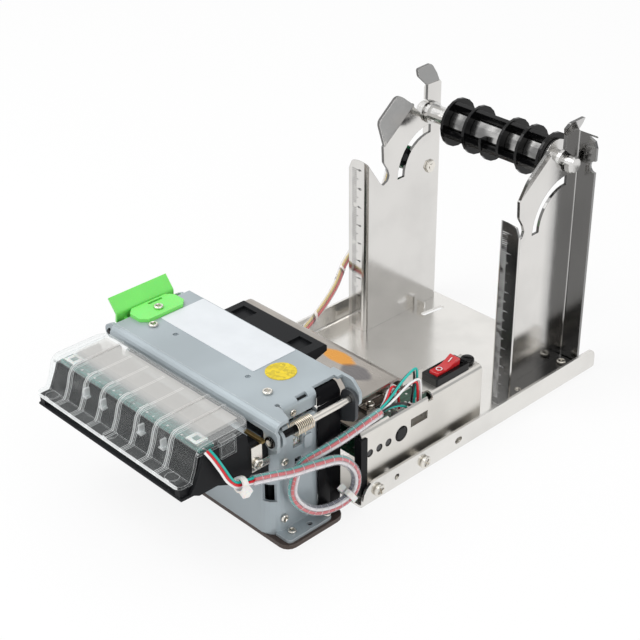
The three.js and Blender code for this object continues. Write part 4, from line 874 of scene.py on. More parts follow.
@dataclass(frozen=True)
class CircuitBoard(Finish):
    """Green solder mask with paler tracks and tinned pads.

    Attributes:
        pitch: how far apart the tracks are along X and Y, in millimetres; pads are twice as far.
        track: half a track's width.
        pad: half a pad's width.
        tin: the pads' colour.
    """

    pitch: tuple[float, float] = (2.2, 2.6)
    track: float = 0.35
    pad: float = 0.5
    tin: Colour = (0.7, 0.7, 0.68)

    def tone(self, paint: Paint) -> tuple[Socket, Socket]:
        """The board's pattern, with tracks along X and Y.

        Args:
            paint: the material's node tree.

        Returns:
            The colour, and 1 where it is metal.
        """
        x, y, z = paint.axes()
        across, along = self.pitch
        rows = (abs(x % across - across / 2) < self.track) * (paint.noise(6, 0) > 0.5)
        columns = (abs((y + z) % along - along / 2) < self.track) * (paint.noise(5, 0) < 0.5)
        tracks = paint.node("ShaderNodeClamp", inputs={"Value": rows + columns})
        pads = (abs(x % (across * 2) - across) < self.pad) * (abs((y + z) % (along * 2) - along) < self.pad)
        pale = tuple(c * 1.8 for c in self.colour)
        return paint.blend(pads, paint.blend(tracks, self.colour, pale), self.tin), pads

    def surface(self, paint: Paint) -> Socket:
        """A glossy shader over the pattern."""
        colour, metal = self.tone(paint)
        return paint.shader(Base_Color=colour, Metallic=metal * 0.9, Roughness=self.roughness, Coat_Weight=0.3)


@dataclass(frozen=True)
class BoxBoard(CircuitBoard):
    """The control board, with a tinned port and dark light pipes on its edge.

    Attributes:
        edge: the X beyond which the port and the pipes lie, in millimetres.
        floor: the height above which they lie.
        port: where the port starts and ends, in Y.
        pipes: the Y in front of which the pipes lie.
    """

    edge: float = 48.9
    floor: float = 21.2
    port: tuple[float, float] = (-21.3, -8.6)
    pipes: float = -32.0

    def tone(self, paint: Paint) -> tuple[Socket, Socket]:
        """The board's pattern with the port and the pipes.

        Args:
            paint: the material's node tree.

        Returns:
            The colour, and 1 where it is metal.
        """
        colour, metal = CircuitBoard.tone(self, paint)
        x, y, z = paint.axes()
        beside = (x > self.edge) * (z > self.floor)
        shell = beside * y.between(*self.port)
        pipe = beside * (y < self.pipes)
        tinned = paint.blend(shell, colour, (0.72, 0.71, 0.68))
        return paint.blend(pipe, tinned, (0.02, 0.02, 0.022)), (metal * (1.0 - pipe) + shell).ramp(0.4, 0.6)


STEEL = SheetSteel("stainless_tray", tint(0xE8E6E2), 0.2, 0.25, Axis.Y, 0.35)
RULER = RulerSteel("polished_uprights", tint(0xDEDCD9), 0.14, 0.35, Axis.Z, 0.3, 0.12)
BOX_STEEL = SheetSteel("box_stainless", tint(0xE2DFD9), 0.3, 0.25, Axis.Y, 0.4, 0.35)
STAINED = BridgeSteel("bridge_stainless", tint(0xB5AFA8), 0.24, 0.25, Axis.X, 0.8)
BRIGHT = SheetSteel("bright_screws", tint(0xE6E2DA), 0.16, 0.12, Axis.NONE, 0.4)
PIVOT = PivotSteel("pivot_shaft", tint(0xE6E2DA), 0.2, 0.1, Axis.Y, 0.3)
SPRING_STEEL = SheetSteel("spring_wire", tint(0xEFE4D2), 0.2, 0.05, Axis.NONE, 0.2)
ROD = SheetSteel("turned_rod", tint(0xD9D8D6), 0.2, 0.15, Axis.X, 0.2)
SPINDLE = SpindleSteel("spindle_rod", tint(0xD9D8D6), 0.2, 0.15, Axis.X, 0.2)
MOTOR = SheetSteel("motor_can", tint(0xA9ABAE), 0.35, 0.3, Axis.X, 0.3)
BLADE = SheetSteel("ground_blade", tint(0xC9CBCD), 0.2, 0.1, Axis.Z, 0.2)
ALUMINIUM = SheetSteel("head_aluminium", tint(0xB4B6B8), 0.38, 0.3, Axis.X, 0.2)
BRASS = SheetSteel("brass", tint(0xC2A56B), 0.3, 0.15, Axis.NONE, 0.5)
BLUE_GREY = PaintedSteel("blue_grey_steel", tint(0xAAB4B9), 0.34, 0.35, 0.3)
DARK_STEEL = PaintedSteel("dark_steel", tint(0x44474A), 0.4, 0.25, 0.4, (0.35, 0.36, 0.37))
BROWN_PLATE = PaintedSteel("brown_plate", tint(0x4C403B), 0.42, 0.3, 0.3, (0.3, 0.26, 0.23))
BLACK = Moulded("black_plastic", tint(0x1B1C1E), 0.42, index=1.2)
GLOSS_BLACK = Moulded("gloss_black", tint(0x0B0B0C), 0.14, 0.25, 0.004, 0.1, index=1.28)
GREEN = Moulded("green_latch", tint(0x7CE86A), 0.26, 0.35, 0.008, 0.3, 0.15)
RED = Moulded("red_rocker", tint(0xC3262B), 0.16, 0.3, 0.003, 0.5, 0.2)
WHITE = Moulded("white_nylon", tint(0xF1F0EC), 0.36, 0.2, 0.006, 0.2, 0.2)
LABEL = Moulded("bare_label", tint(0xDDE1E5), 0.34, 0.1, 0.002, 0.2)
FLAT_CABLE = Moulded("flat_cable", tint(0x101012), 0.3, 0.1, 0.004, index=1.14)
RUBBER = Moulded("platen_rubber", tint(0x2A2A2D), 0.7, 0.2, 0.02)
CLEAR = ClearPlastic("clear_hood", tint(0xF6F8F8), 0.12, 0.3)
MILKY = ClearPlastic("milky_clip", tint(0xF2F4F4), 0.2, 0.15, haze=0.28, ribs_show=0.0)
FILM = WrapFilm("wrap_film", tint(0xF0EFF3), 0.14, 0.05, haze=0.16)
LEAD_FILM = WrapFilm("lead_film", tint(0xEFEAE4), 0.2, 0.05, 24.0, 130.0, 0.2)
GOLD = Foil("gold_foil", tint(0xC4AE1E), 0.26, 0.05)
GREEN_BOARD = CircuitBoard("green_board", tint(0x1B6B45), 0.35)
TEAL_BOARD = CircuitBoard("teal_board", tint(0x1F5F58), 0.35)
BOX_BOARD = BoxBoard("box_board", tint(0x14402C), 0.4)
WIRE_SKINS = {
    "white": Moulded("wire_white", tint(0xF2F2F2), 0.28, 0.05, 0.002, 0.2),
    "red": Moulded("wire_red", tint(0xD8232C), 0.28, 0.05, 0.002, 0.2),
    "teal": Moulded("wire_teal", tint(0x14B4A8), 0.28, 0.05, 0.002, 0.2),
    "black": Moulded("wire_black", tint(0x1C1C20), 0.28, 0.05, 0.002, 0.2),
    "grey": Moulded("wire_grey", tint(0x55596A), 0.28, 0.05, 0.002, 0.2),
    "yellow": Moulded("wire_yellow", tint(0xD8BE5A), 0.28, 0.05, 0.002, 0.2),
}


class Bench:
    """Blender's modelling operators, used on one object at a time, in millimetres."""

    @staticmethod
    def clear() -> None:
        """Leaves nothing selected."""
        bpy.ops.object.select_all(action="DESELECT")

    @staticmethod
    def take(*pieces: bpy.types.Object) -> bpy.types.Object:
        """Selects pieces alone; the first is the active one.

        Args:
            pieces: what is selected.

        Returns:
            The first.
        """
        Bench.clear()
        for piece in pieces:
            piece.select_set(True)
        bpy.context.view_layer.objects.active = pieces[0]
        return pieces[0]

    @staticmethod
    def settle(piece: bpy.types.Object) -> bpy.types.Object:
        """Puts the object's place, turn and scale into its mesh.

        Args:
            piece: the object.

        Returns:
            The same object.
        """
        Bench.take(piece)
        bpy.ops.object.transform_apply(location=True, rotation=True, scale=True)
        return piece

    @staticmethod
    def apply(piece: bpy.types.Object, kind: str, **settings: object) -> bpy.types.Object:
        """Adds a modifier, sets it and applies it.

        Args:
            piece: the object.
            kind: the modifier's type.
            settings: its settings.

        Returns:
            The object.
        """
        Bench.take(piece)
        modifier = piece.modifiers.new(kind.lower(), kind)
        for name, value in settings.items():
            setattr(modifier, name, value)
        bpy.ops.object.modifier_apply(modifier=modifier.name)
        return piece

    @staticmethod
    def soften(piece: bpy.types.Object, width: float, segments: int = 3) -> bpy.types.Object:
        """Rounds the sharp edges by a width and shades the rest smooth.

        Args:
            piece: the object.
            width: how wide the rounding is.
            segments: how many steps it takes.

        Returns:
            The same object.
        """
        Bench.apply(
            piece, "BEVEL", width=width, segments=segments, limit_method="ANGLE", angle_limit=math.radians(40)
        )
        Bench.take(piece)
        bpy.ops.object.shade_smooth_by_angle(angle=math.radians(35))
        return piece

    @staticmethod
    def block(name: str, low: Point, high: Point, round_by: float = 0.0) -> bpy.types.Object:
        """A block between two measured corners, with rounded edges.

        Args:
            name: the object's name.
            low: its lowest corner, in millimetres.
            high: its highest corner, in millimetres.
            round_by: how far its edges are rounded.

        Returns:
            The block, in millimetres.
        """
        Bench.clear()
        bpy.ops.mesh.primitive_cube_add(size=1, location=[(a + b) / 2 for a, b in zip(low, high)])
        piece = bpy.context.object
        piece.name = name
        piece.scale = [b - a for a, b in zip(low, high)]
        Bench.settle(piece)
        return Bench.soften(piece, round_by) if round_by else piece

    @staticmethod
    def rod(name: str, radius: float, depth: float, sides: int = 32) -> bpy.types.Object:
        """An upright rod that stands on the origin, in millimetres.

        Args:
            name: the object's name.
            radius: its radius.
            depth: its height.
            sides: how many sides it has.

        Returns:
            The rod.
        """
        Bench.clear()
        bpy.ops.mesh.primitive_cylinder_add(vertices=sides, radius=radius, depth=depth, location=(0, 0, depth / 2))
        piece = bpy.context.object
        piece.name = name
        return Bench.settle(piece)

    @staticmethod
    def carve(piece: bpy.types.Object, *tools: bpy.types.Object) -> bpy.types.Object:
        """Cuts the tools out of a piece and deletes them.

        Args:
            piece: what is cut.
            tools: the shapes that are cut out.

        Returns:
            The piece.
        """
        for tool in tools:
            Bench.apply(piece, "BOOLEAN", object=tool, operation="DIFFERENCE", solver="EXACT")
            bpy.data.objects.remove(tool)
        return piece

    @staticmethod
    def join(name: str, *pieces: bpy.types.Object) -> bpy.types.Object:
        """Makes one object of several.

        Args:
            name: the new object's name.
            pieces: what is joined.

        Returns:
            The new object.
        """
        Bench.take(*pieces)
        bpy.ops.object.join()
        pieces[0].name = name
        return pieces[0]

    @staticmethod
    def to_frame(piece: bpy.types.Object) -> bpy.types.Object:
        """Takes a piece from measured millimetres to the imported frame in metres."""
        piece.matrix_world = Matrix.Scale(MM, 4) @ Matrix.Translation((0, SHIFT, 0)) @ piece.matrix_world
        return Bench.settle(piece)

    @staticmethod
    def seat(master: bpy.types.Object, name: str, at: Point, facing: Vector, turn: float) -> bpy.types.Object:
        """Copies a master that stands on the origin to a place, with its own mesh.

        Args:
            master: the model, in millimetres along +Z.
            name: the copy's name.
            at: where its foot is, measured in millimetres.
            facing: the way its top looks.
            turn: how far it is turned about that way, in degrees.

        Returns:
            The copy, in metres.
        """
        copy = master.copy()
        copy.data = master.data.copy()
        copy.name = name
        bpy.context.scene.collection.objects.link(copy)
        lean = Vector((0, 0, 1)).rotation_difference(facing)
        spin = Quaternion((0, 0, 1), math.radians(turn))
        copy.matrix_world = Matrix.Translation(at) @ (lean @ spin).to_matrix().to_4x4()
        return Bench.to_frame(copy)


@dataclass
class Route:
    """A smooth line through measured points, with frames along it.

    Attributes:
        points: the points that it passes.
        steps: how many stretches each gap between points gets.
    """

    points: Sequence[Point]
    steps: int = 6

    def line(self) -> list[Vector]:
        """The smooth line.

        Returns:
            Points along it, in millimetres.
        """
        given = [Vector(p) for p in self.points]
        ends = [given[0] * 2 - given[1], *given, given[-1] * 2 - given[-2]]
        found = []
        for i in range(1, len(ends) - 2):
            found += [self._between(ends[i - 1 : i + 3], k / self.steps) for k in range(self.steps)]
        return [*found, given[-1]]

    @staticmethod
    def _between(four: list[Vector], share: float) -> Vector:
        """A point between the second and third of four, on a centripetal curve.

        Args:
            four: the points.
            share: how far from the second to the third, up to 1.

        Returns:
            The point.
        """
        knots = [0.0]
        for a, b in zip(four, four[1:]):
            knots.append(knots[-1] + max((b - a).length, 1e-4) ** 0.5)
        t = knots[1] + (knots[2] - knots[1]) * share

        def pull(low: Vector, high: Vector, i: int, j: int) -> Vector:
            """A point on the line from one point to another, by their knots."""
            return low.lerp(high, (t - knots[i]) / (knots[j] - knots[i]))

        first, second, third = (pull(four[i], four[i + 1], i, i + 1) for i in range(3))
        return pull(pull(first, second, 0, 2), pull(second, third, 1, 3), 1, 2)

    @staticmethod
    def length(line: Sequence[Vector]) -> float:
        """The length of a line of points."""
        return sum((b - a).length for a, b in zip(line, line[1:]))

    def strand(self, distance: float, start: float, twist: float) -> list[Vector]:
        """A line that winds round this one.

        Args:
            distance: how far off it lies, in millimetres.
            start: its first angle, in degrees.
            twist: how far it turns along each millimetre, in degrees.

        Returns:
            Points along it.
        """
        line = self.line()
        side = Vector((0, 0, 1))
        found, run = [], 0.0
        for i, spot in enumerate(line):
            along = (line[min(i + 1, len(line) - 1)] - line[max(i - 1, 0)]).normalized()
            side = (side - along * side.dot(along)).normalized()
            angle = math.radians(start + twist * run)
            found.append(spot + (side * math.cos(angle) + along.cross(side) * math.sin(angle)) * distance)
            run += (line[min(i + 1, len(line) - 1)] - spot).length
        return found


def tube(name: str, line: Sequence[Vector], radius: float, sides: int = 4) -> bpy.types.Object:
    """A round tube along a line of points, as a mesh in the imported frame.

    Args:
        name: the object's name.
        line: points in measured millimetres.
        radius: its radius, in millimetres.
        sides: a quarter of the sides that it has, less one.

    Returns:
        The tube.
    """
    curve = bpy.data.curves.new(name, "CURVE")
    curve.dimensions = "3D"
    curve.bevel_depth, curve.bevel_resolution = radius, sides
    curve.use_fill_caps = True
    spline = curve.splines.new("POLY")
    spline.points.add(len(line) - 1)
    for spot, p in zip(spline.points, line):
        spot.co = (*p, 1.0)
    piece = bpy.data.objects.new(name, curve)
    bpy.context.scene.collection.objects.link(piece)
    Bench.take(piece)
    bpy.ops.object.convert(target="MESH")
    piece = bpy.context.object
    bpy.ops.object.shade_smooth()
    return Bench.to_frame(piece)


@dataclass
class Screw:
    """A pan head screw with a cross recess, modelled once and copied.

    Attributes:
        radius: the head's radius, in millimetres.
        height: the head's height, in millimetres.
    """

    radius: float
    height: float

    def master(self) -> bpy.types.Object:
        """Models the head along +Z, standing on the origin.

        Returns:
            The model, in millimetres.
        """
        head = Bench.rod("screw_master", self.radius, self.height, 36)
        Bench.soften(head, self.height * 0.45, 4)
        arm, slit = self.radius * 0.62, self.radius * 0.13
        deep, top = self.height * 0.35, self.height + 1
        first = Bench.block("slot_across", (-arm, -slit, deep), (arm, slit, top))
        second = Bench.block("slot_along", (-slit, -arm, deep), (slit, arm, top))
        return Bench.carve(head, first, second)


class Assembly:
    """A sub-assembly of the printer: dresses its CAD nodes and adds its pieces."""

    body = "base"

    def keep(
        self, piece: bpy.types.Object, finish: Finish, slot: str, *nodes: str, body: str = ""
    ) -> bpy.types.Object:
        """Finishes a piece and lets it ride.

        Args:
            piece: the new piece.
            finish: its finish.
            slot: the record's material slot; not used.
            nodes: the CAD nodes that it stands for.
            body: the body that it rides on, where it isn't this assembly's own.

        Returns:
            The piece.
        """
        finish.coat(piece)
        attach(piece, body or self.body)
        if nodes:
            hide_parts(*nodes)
        LOG.info("piece %s on %s, %d faces", piece.name, body or self.body, len(piece.data.polygons))
        return piece

    def screws(self, screw: Screw, rows: Sequence[tuple], slot: str = "bright_steel") -> None:
        """Places copies of a screw.

        Args:
            screw: its sizes.
            rows: name, place, facing, turn and the CAD nodes that each stands for.
            slot: the record's material slot.
        """
        master = screw.master()
        for name, at, facing, turn, *nodes in rows:
            copy = Bench.seat(master, name, at, Vector(facing.value), turn)
            self.keep(copy, BRIGHT, slot, *nodes)
        bpy.data.objects.remove(master)

    def build(self) -> None:
        """Dresses the nodes and makes the pieces."""
        raise NotImplementedError


@dataclass
class Harness(Assembly):
    """The wires from the bezel's lights round a loop to the control board.

    Attributes:
        sleeve: the wrapped stretch's points.
        front: the bare wires' points in front of it.
        flat: how many of those points the wires pass side by side.
        rear: each wire's points behind it, by colour.
        sleeve_radius: the wrap's radius.
        wound: how far off the middle the wires in the wrap lie, their turn for each millimetre in
            degrees, and their radius.
        wire_radius: the radius of a wire outside it.
        spread: the step from one front wire to the next where they lie side by side.
        rise: the step in height from one to the next where they are tied.
        bulge: how far the middle one stands out there.
        beside: how far a rear wire's twin lies from it.
        twins: the colour of the second wire beside each rear one.
    """

    sleeve: Sequence[Point] = (
        (54.2, -109.3, 41.5), (55.2, -100, 39.3), (56.8, -90.6, 37.3), (58.4, -77.7, 35.5), (58.6, -65.5, 31.7),
        (58.6, -58, 24.3), (58.6, -55.5, 17.5), (58.4, -56.8, 11.4), (58, -61.9, 8.4), (57.4, -71.1, 8.6),
        (56.6, -79.8, 12), (55.4, -86.6, 19), (54.4, -88.4, 24.7), (53.8, -87, 29.4), (53.6, -84.9, 33.5),
        (53.6, -81, 35.9), (53.9, -72, 36.4), (54.4, -59.1, 37.4), (55.2, -48.4, 39.5), (54, -37, 39.5),
    )
    front: Sequence[Point] = (
        (49.4, -127.6, 62.6), (51.2, -126.2, 59.6), (52.5, -123.2, 53.1), (53.5, -120.3, 46.8), (54, -117.4, 43.6),
        (54, -113.2, 42.4), (54.2, -108.6, 41.4),
    )
    flat: int = 4
    rear: Sequence[tuple] = (
        ("red", ((54, -38, 39.7), (51.6, -30, 42), (49.6, -25, 45), (49.6, -22, 43), (49.6, -20.5, 36),
                 (49.6, -20, 31))),
        ("teal", ((54, -38, 40.4), (52.6, -29, 42.6), (51.4, -19, 47.4), (51.4, -12, 49.6), (51.4, -11, 45),
                  (51.6, -12.5, 36), (51.6, -13, 31))),
        ("white", ((54, -38, 39), (53.6, -28, 41.6), (53, -17, 45), (53, -11.4, 44.4), (53.2, -10.4, 39),
                   (53.2, -10.4, 30))),
        ("black", ((54, -38, 39.2), (54.6, -30, 40.2), (54.6, -22, 37.6), (54, -17, 33), (53, -16, 30.5))),
    )
    sleeve_radius: float = 2.3
    wound: tuple[float, float, float] = (1.3, 0.22, 0.72)
    wire_radius: float = 0.56
    spread: Point = (0.25, 0.9, 0.45)
    rise: float = 1.15
    bulge: float = 0.4
    beside: Point = (-0.5, -1.3, -0.9)
    twins: dict[str, str] = field(
        default_factory=lambda: {"red": "white", "teal": "black", "white": "red", "black": "teal"}
    )

    def build(self) -> None:
        """Makes the wrap, the wires in it and the wires at both ends."""
        route = Route(self.sleeve)
        wrap = tube("harness_wrap", route.line(), self.sleeve_radius, 5)
        self.keep(wrap, FILM, "cable_sleeve", "wire_harness")
        distance, twist, radius = self.wound
        for colour, start in (("teal", -25), ("red", 40), ("white", 115), ("grey", 220)):
            strand = route.strand(distance, start, twist)
            self.keep(tube(f"wire_in_wrap_{colour}", strand, radius, 2), WIRE_SKINS[colour], "cable_sleeve")
        for colour, side in (("white", -1.0), ("red", 0.0), ("teal", 1.0)):
            flat = [Vector(spot) + Vector(self.spread) * side for spot in self.front[: self.flat]]
            out = 0.0 if side else self.bulge
            tied = [Vector(spot) + Vector((out, 0, side * self.rise)) for spot in self.front[self.flat :]]
            line = Route([*flat, *tied]).line()
            self.keep(tube(f"front_wire_{colour}", line, self.wire_radius, 2), WIRE_SKINS[colour], "cable_sleeve")
        for colour, points in self.rear:
            line = Route(points).line()
            self.keep(tube(f"rear_wire_{colour}", line, self.wire_radius, 2), WIRE_SKINS[colour], "cable_sleeve")
            beside = [Vector(spot) + Vector(self.beside) for spot in points[1:]]
            twin = tube(f"rear_wire_{colour}_twin", Route([points[0], *beside]).line(), self.wire_radius, 2)
            self.keep(twin, WIRE_SKINS[self.twins[colour]], "cable_sleeve")
        WHITE.dress("cable_tie_front", "cable_tie_rear")


@dataclass
class SensorLead(Assembly):
    """The lead of the near-end sensor: three wires in a clear tube.

    Attributes:
        points: the lead's route.
        radius: the tube's radius.
        wound: how far off the middle its wires lie, their turn for each millimetre in degrees, and
            their radius.
    """

    points: Sequence[Point] = (
        (-53.2, 83.5, 86.2), (-53.6, 83.4, 86), (-55.4, 82.4, 81.5), (-55.8, 79.5, 72), (-56, 69, 54),
        (-56.2, 58, 43), (-56, 50, 36), (-53.5, 42, 28.5), (-50.5, 30, 22), (-47.5, 14, 16), (-44, -4, 12),
        (-36.5, -18, 8), (-35, -30, 6),
    )
    radius: float = 1.9
    wound: tuple[float, float, float] = (0.85, 0.6, 0.7)

    def build(self) -> None:
        """Makes the tube and its wires."""
        route = Route(self.points)
        self.keep(tube("sensor_lead_tube", route.line(), self.radius, 4), LEAD_FILM, "cable_sleeve", "sensor_cable")
        distance, twist, radius = self.wound
        for i, colour in enumerate(("white", "red", "yellow")):
            strand = route.strand(distance, 120 * i, twist)
            self.keep(tube(f"sensor_wire_{colour}", strand, radius, 2), WIRE_SKINS[colour], "cable_sleeve")


@dataclass
class Tray(Assembly):
    """The tray, the base plate and their screws.

    Attributes:
        skirt: the X of the side skirts' outer faces.
        screw_z: the height of the screws' middles.
        screw_y: each screw's Y.
        screw: a head's radius and height.
    """

    skirt: float = 60.7
    screw_z: float = 6.3
    screw_y: tuple[float, float] = (-44.3, -15.0)
    screw: tuple[float, float] = (3.0, 1.8)

    def build(self) -> None:
        """Dresses the sheets and adds the skirt's screws."""
        STEEL.dress("base_tray")
        BROWN_PLATE.dress("base_plate")
        DARK_STEEL.dress("floor_strap")
        rows = []
        for side, facing in ((1, Facing.RIGHT), (-1, Facing.LEFT)):
            hand = "right" if side > 0 else "left"
            for where, y, turn in (("front", self.screw_y[0], 20), ("rear", self.screw_y[1], 50)):
                node = f"skirt_screw_{hand}_{where}"
                rows.append((f"{node}_head", (side * self.skirt, y, self.screw_z), facing, turn, node))
        self.screws(Screw(*self.screw), rows)


@dataclass
class Uprights(Assembly):
    """The two uprights with their rules and the near-end sensor.

    Attributes:
        face: the Y of the flanges' front faces.
        digit: a figure's text size.
        digit_in: how far its middle is from the rule's edge.
        foot_screw: where the right foot's screw sits.
        screw: a head's radius and height.
        nut_place: where the near-end sensor's nut sits.
        nut: the nut's radius across its corners and its height.
        stud: the radius and height of the stud's end in it.
    """

    face: float = 51.0
    digit: float = 2.94
    digit_in: float = 5.4
    foot_screw: Point = (48.7, 97.9, 2.7)
    screw: tuple[float, float] = (2.4, 1.6)
    nut_place: Point = (-41.95, 97.0, 80.2)
    nut: tuple[float, float] = (3.5, 1.25)
    stud: tuple[float, float] = (1.575, 1.7)

    def build(self) -> None:
        """Dresses the sheets and adds figures and foot screws."""
        RULER.dress("right_upright", "left_upright")
        BLACK.dress("sensor_bracket")
        GREEN_BOARD.dress("sensor_board")
        for hand, start in zip(("left", "right"), RULER.edges_x):
            self.keep(self._figures(f"rule_figures_{hand}", start), BLACK, "dark_grey_metal")
        x, y, z = self.foot_screw
        sides = (("right", 1), ("left", -1))
        rows = [(f"foot_screw_{hand}", (side * x, y, z), Facing.UP, 30) for hand, side in sides]
        self.screws(Screw(*self.screw), rows)
        nut = Bench.soften(Bench.rod("nut_master", *self.nut, 6), 0.2, 2)
        end = Bench.soften(Bench.rod("stud_end", *self.stud, 24), 0.2, 2)
        master = Bench.join("nut_master", nut, end)
        copy = Bench.seat(master, "sensor_nut", self.nut_place, Vector(Facing.RIGHT.value), 0)
        bpy.data.objects.remove(master)
        self.keep(copy, BRIGHT, "bright_steel", body="sensor")

    def _figures(self, name: str, start: float) -> bpy.types.Object:
        """The figures 1 to 9 beside a rule's long lines.

        Args:
            name: the piece's name.
            start: the X of the rule's edge.

        Returns:
            One thin mesh.
        """
        made = []
        for n in range(1, 10):
            Bench.clear()
            spot = (start + self.digit_in, self.face - 0.01, RULER.foot + 10 * n)
            bpy.ops.object.text_add(location=spot)
            text = bpy.context.object
            text.data.body = str(n)
            text.data.size = self.digit
            text.data.align_x, text.data.align_y = "CENTER", "CENTER"
            text.data.extrude = 0.012
            text.data.resolution_u = 3
            text.rotation_euler = (math.radians(90), math.radians(-90), 0)
            Bench.take(text)
            bpy.ops.object.convert(target="MESH")
            made.append(Bench.settle(bpy.context.object))
        return Bench.to_frame(Bench.join(name, *made))


class Spindle(Assembly):
    """The spindle and the hub that turns on it."""

    def build(self) -> None:
        """Dresses both."""
        SPINDLE.dress("spindle_shaft")
        GLOSS_BLACK.dress("spindle_hub")


@dataclass
class ControlBox(Assembly):
    """The folded box with its board, button and power switch.

    Attributes:
        rocker: where the rocker turns.
        tilt: how far it is tipped at rest, and how its ends slope, in degrees.
        mark_along: how far from its middle the signs are.
        mark_rise: how high above the pivot they lie.
        mark_size: their text size.
        dome_at: where the small dome behind the switch sits.
        dome: its radius and height.
        plugs: the lowest and highest corners of the plugs that the wires end in.
        plug_wall: how thick a plug's walls are.
        plug_depth: how deep its hollow is.
    """

    rocker: Point = (50.5, 8.75, 38.2)
    tilt: float = 12.0
    mark_along: float = 3.7
    mark_rise: float = 4.35
    mark_size: float = 4.2
    dome_at: Point = (50.9, 23.0, 36.9)
    dome: tuple[float, float] = (3.2, 3.0)
    plugs: Sequence[tuple[Point, Point]] = (
        ((50.2, -15.4, 29.8), (54.6, -9.4, 33.0)),
        ((47.0, -22.6, 28.0), (51.2, -18.0, 32.0)),
    )
    plug_wall: float = 0.8
    plug_depth: float = 0.6

    def build(self) -> None:
        """Dresses the nodes and marks the rocker."""
        BOX_STEEL.dress("control_box")
        BOX_BOARD.dress("control_board")
        GLOSS_BLACK.dress("feed_button", "rocker_switch_body")
        BLACK.dress("box_edge_trim")
        RED.dress("rocker")
        for name, letter, side in (("mark_off", "O", -1), ("mark_on", "I", 1)):
            mark = self._mark(name, letter, side * self.mark_along, -side * self.tilt)
            self.keep(mark, WHITE, "white_plastic", body="rocker_key")
        dome = Bench.soften(Bench.rod("dome_master", *self.dome), 1.3, 4)
        bushing = Bench.seat(dome, "box_dome", self.dome_at, Vector(Facing.UP.value), 0)
        bpy.data.objects.remove(dome)
        self.keep(bushing, GLOSS_BLACK, "black_gloss")
        for i, (low, high) in enumerate(self.plugs):
            plug = Bench.block(f"wire_plug_{i + 1}", low, high, 0.3)
            inner_low = (low[0] + self.plug_wall, low[1] + self.plug_wall, high[2] - self.plug_depth)
            inner_high = (high[0] - self.plug_wall, high[1] - self.plug_wall, high[2] + 1)
            well = Bench.block("plug_well", inner_low, inner_high)
            self.keep(Bench.to_frame(Bench.carve(plug, well)), WHITE, "white_plastic")

    def _mark(self, name: str, letter: str, along: float, lean: float) -> bpy.types.Object:
        """A moulded sign on one end of the rocker.

        Args:
            name: the piece's name.
            letter: I or O.
            along: how far from the middle it is.
            lean: how that end slopes, in degrees.

        Returns:
            The sign as a mesh.
        """
        Bench.clear()
        bpy.ops.object.text_add()
        text = bpy.context.object
        text.data.body = letter
        text.data.size = self.mark_size
        text.data.align_x, text.data.align_y = "CENTER", "CENTER"
        text.data.extrude = 0.08
        text.data.resolution_u = 6
        Bench.take(text)
        bpy.ops.object.convert(target="MESH")
        piece = bpy.context.object
        piece.name = name
        local = Matrix.Translation((0, along, self.mark_rise)) @ Matrix.Rotation(math.radians(-lean), 4, "X")
        turn = Matrix.Rotation(math.radians(self.tilt), 4, "X")
        piece.matrix_world = Matrix.Translation(self.rocker) @ turn @ local
        Bench.settle(piece)
        return Bench.to_frame(piece)


@dataclass
class Bridge(Assembly):
    """The paper bridge and the screws in its foot.

    Attributes:
        foot_x: the X of the screws.
        foot_top: the height that they sit on.
        screw_y: each screw's Y.
        screw: a head's radius and height.
    """

    foot_x: float = 45.6
    foot_top: float = 38.1
    screw_y: tuple[float, float] = (-34.2, -23.6)
    screw: tuple[float, float] = (2.1, 1.3)

    def build(self) -> None:
        """Dresses the sheet and adds its screws."""
        STAINED.dress("guide_bridge")
        rows = [
            (f"bridge_foot_screw_{where}", (self.foot_x, y, self.foot_top), Facing.UP, turn)
            for where, y, turn in zip(("front", "rear"), self.screw_y, (15, 60))
        ]
        self.screws(Screw(*self.screw), rows)


@dataclass
class PrinterFrame(Assembly):
    """The folded frame, its inner chassis and everything that drives the paper.

    Attributes:
        side: the X of its side walls' outer faces.
        wall_screws: Y and Z of the screws in each side wall.
        foot_screws: X and Y of the screws in its feet.
        foot_top: the height of its feet.
        screw: a head's radius and height.
        strips: the lowest and highest corners of the flat cable's straight front part.
    """

    side: float = 50.0
    wall_screws: tuple[tuple[float, float], ...] = ((-88.7, 38.2), (-89.5, 9.7))
    foot_screws: tuple[tuple[float, float], ...] = ((53.3, -88.1), (55.2, -69.8), (-53.3, -88.1))
    foot_top: float = 3.5
    screw: tuple[float, float] = (1.9, 1.2)
    strips: tuple[tuple[Point, Point], ...] = (
        ((50.3, -70.2, 2.4), (50.8, -63.4, 56.2)),
        ((50.3, -63.6, 2.4), (50.8, -57.4, 9.6)),
    )

    def build(self) -> None:
        """Dresses the nodes and adds the frame's screws."""
        BLUE_GREY.dress("printer_frame")
        DARK_STEEL.dress("hinge_bracket")
        BLACK.dress("printer_chassis")
        RUBBER.dress("platen_roller")
        ROD.dress("platen_shaft")
        WHITE.dress("platen_gear", "idler_gear")
        BRASS.dress("motor_pinion", "cutter_pinion")
        MOTOR.dress("feed_motor", "cutter_motor")
        BLADE.dress("moving_blade")
        FLAT_CABLE.dress("flat_cable_frame")
        PIVOT.dress("hinge_shaft")
        feet = list(zip(("front", "rear", "left"), self.foot_screws, (10, 40, 10)))
        rows = []
        for side, hand, facing, own in ((1, "", Facing.RIGHT, feet[:2]), (-1, "left_", Facing.LEFT, feet[2:])):
            for where, (y, z), turn in zip(("upper", "lower"), self.wall_screws, (25, 70)):
                rows.append((f"frame_screw_{hand}{where}", (side * self.side, y, z), facing, turn))
            for where, spot, turn in own:
                rows.append((f"plate_screw_{where}", (*spot, self.foot_top), Facing.UP, turn))
        self.screws(Screw(*self.screw), rows)
        strips = [Bench.block("strip", low, high, 0.15) for low, high in self.strips]
        self.keep(Bench.to_frame(Bench.join("flat_cable_fold", *strips)), FLAT_CABLE, "flat_cable")


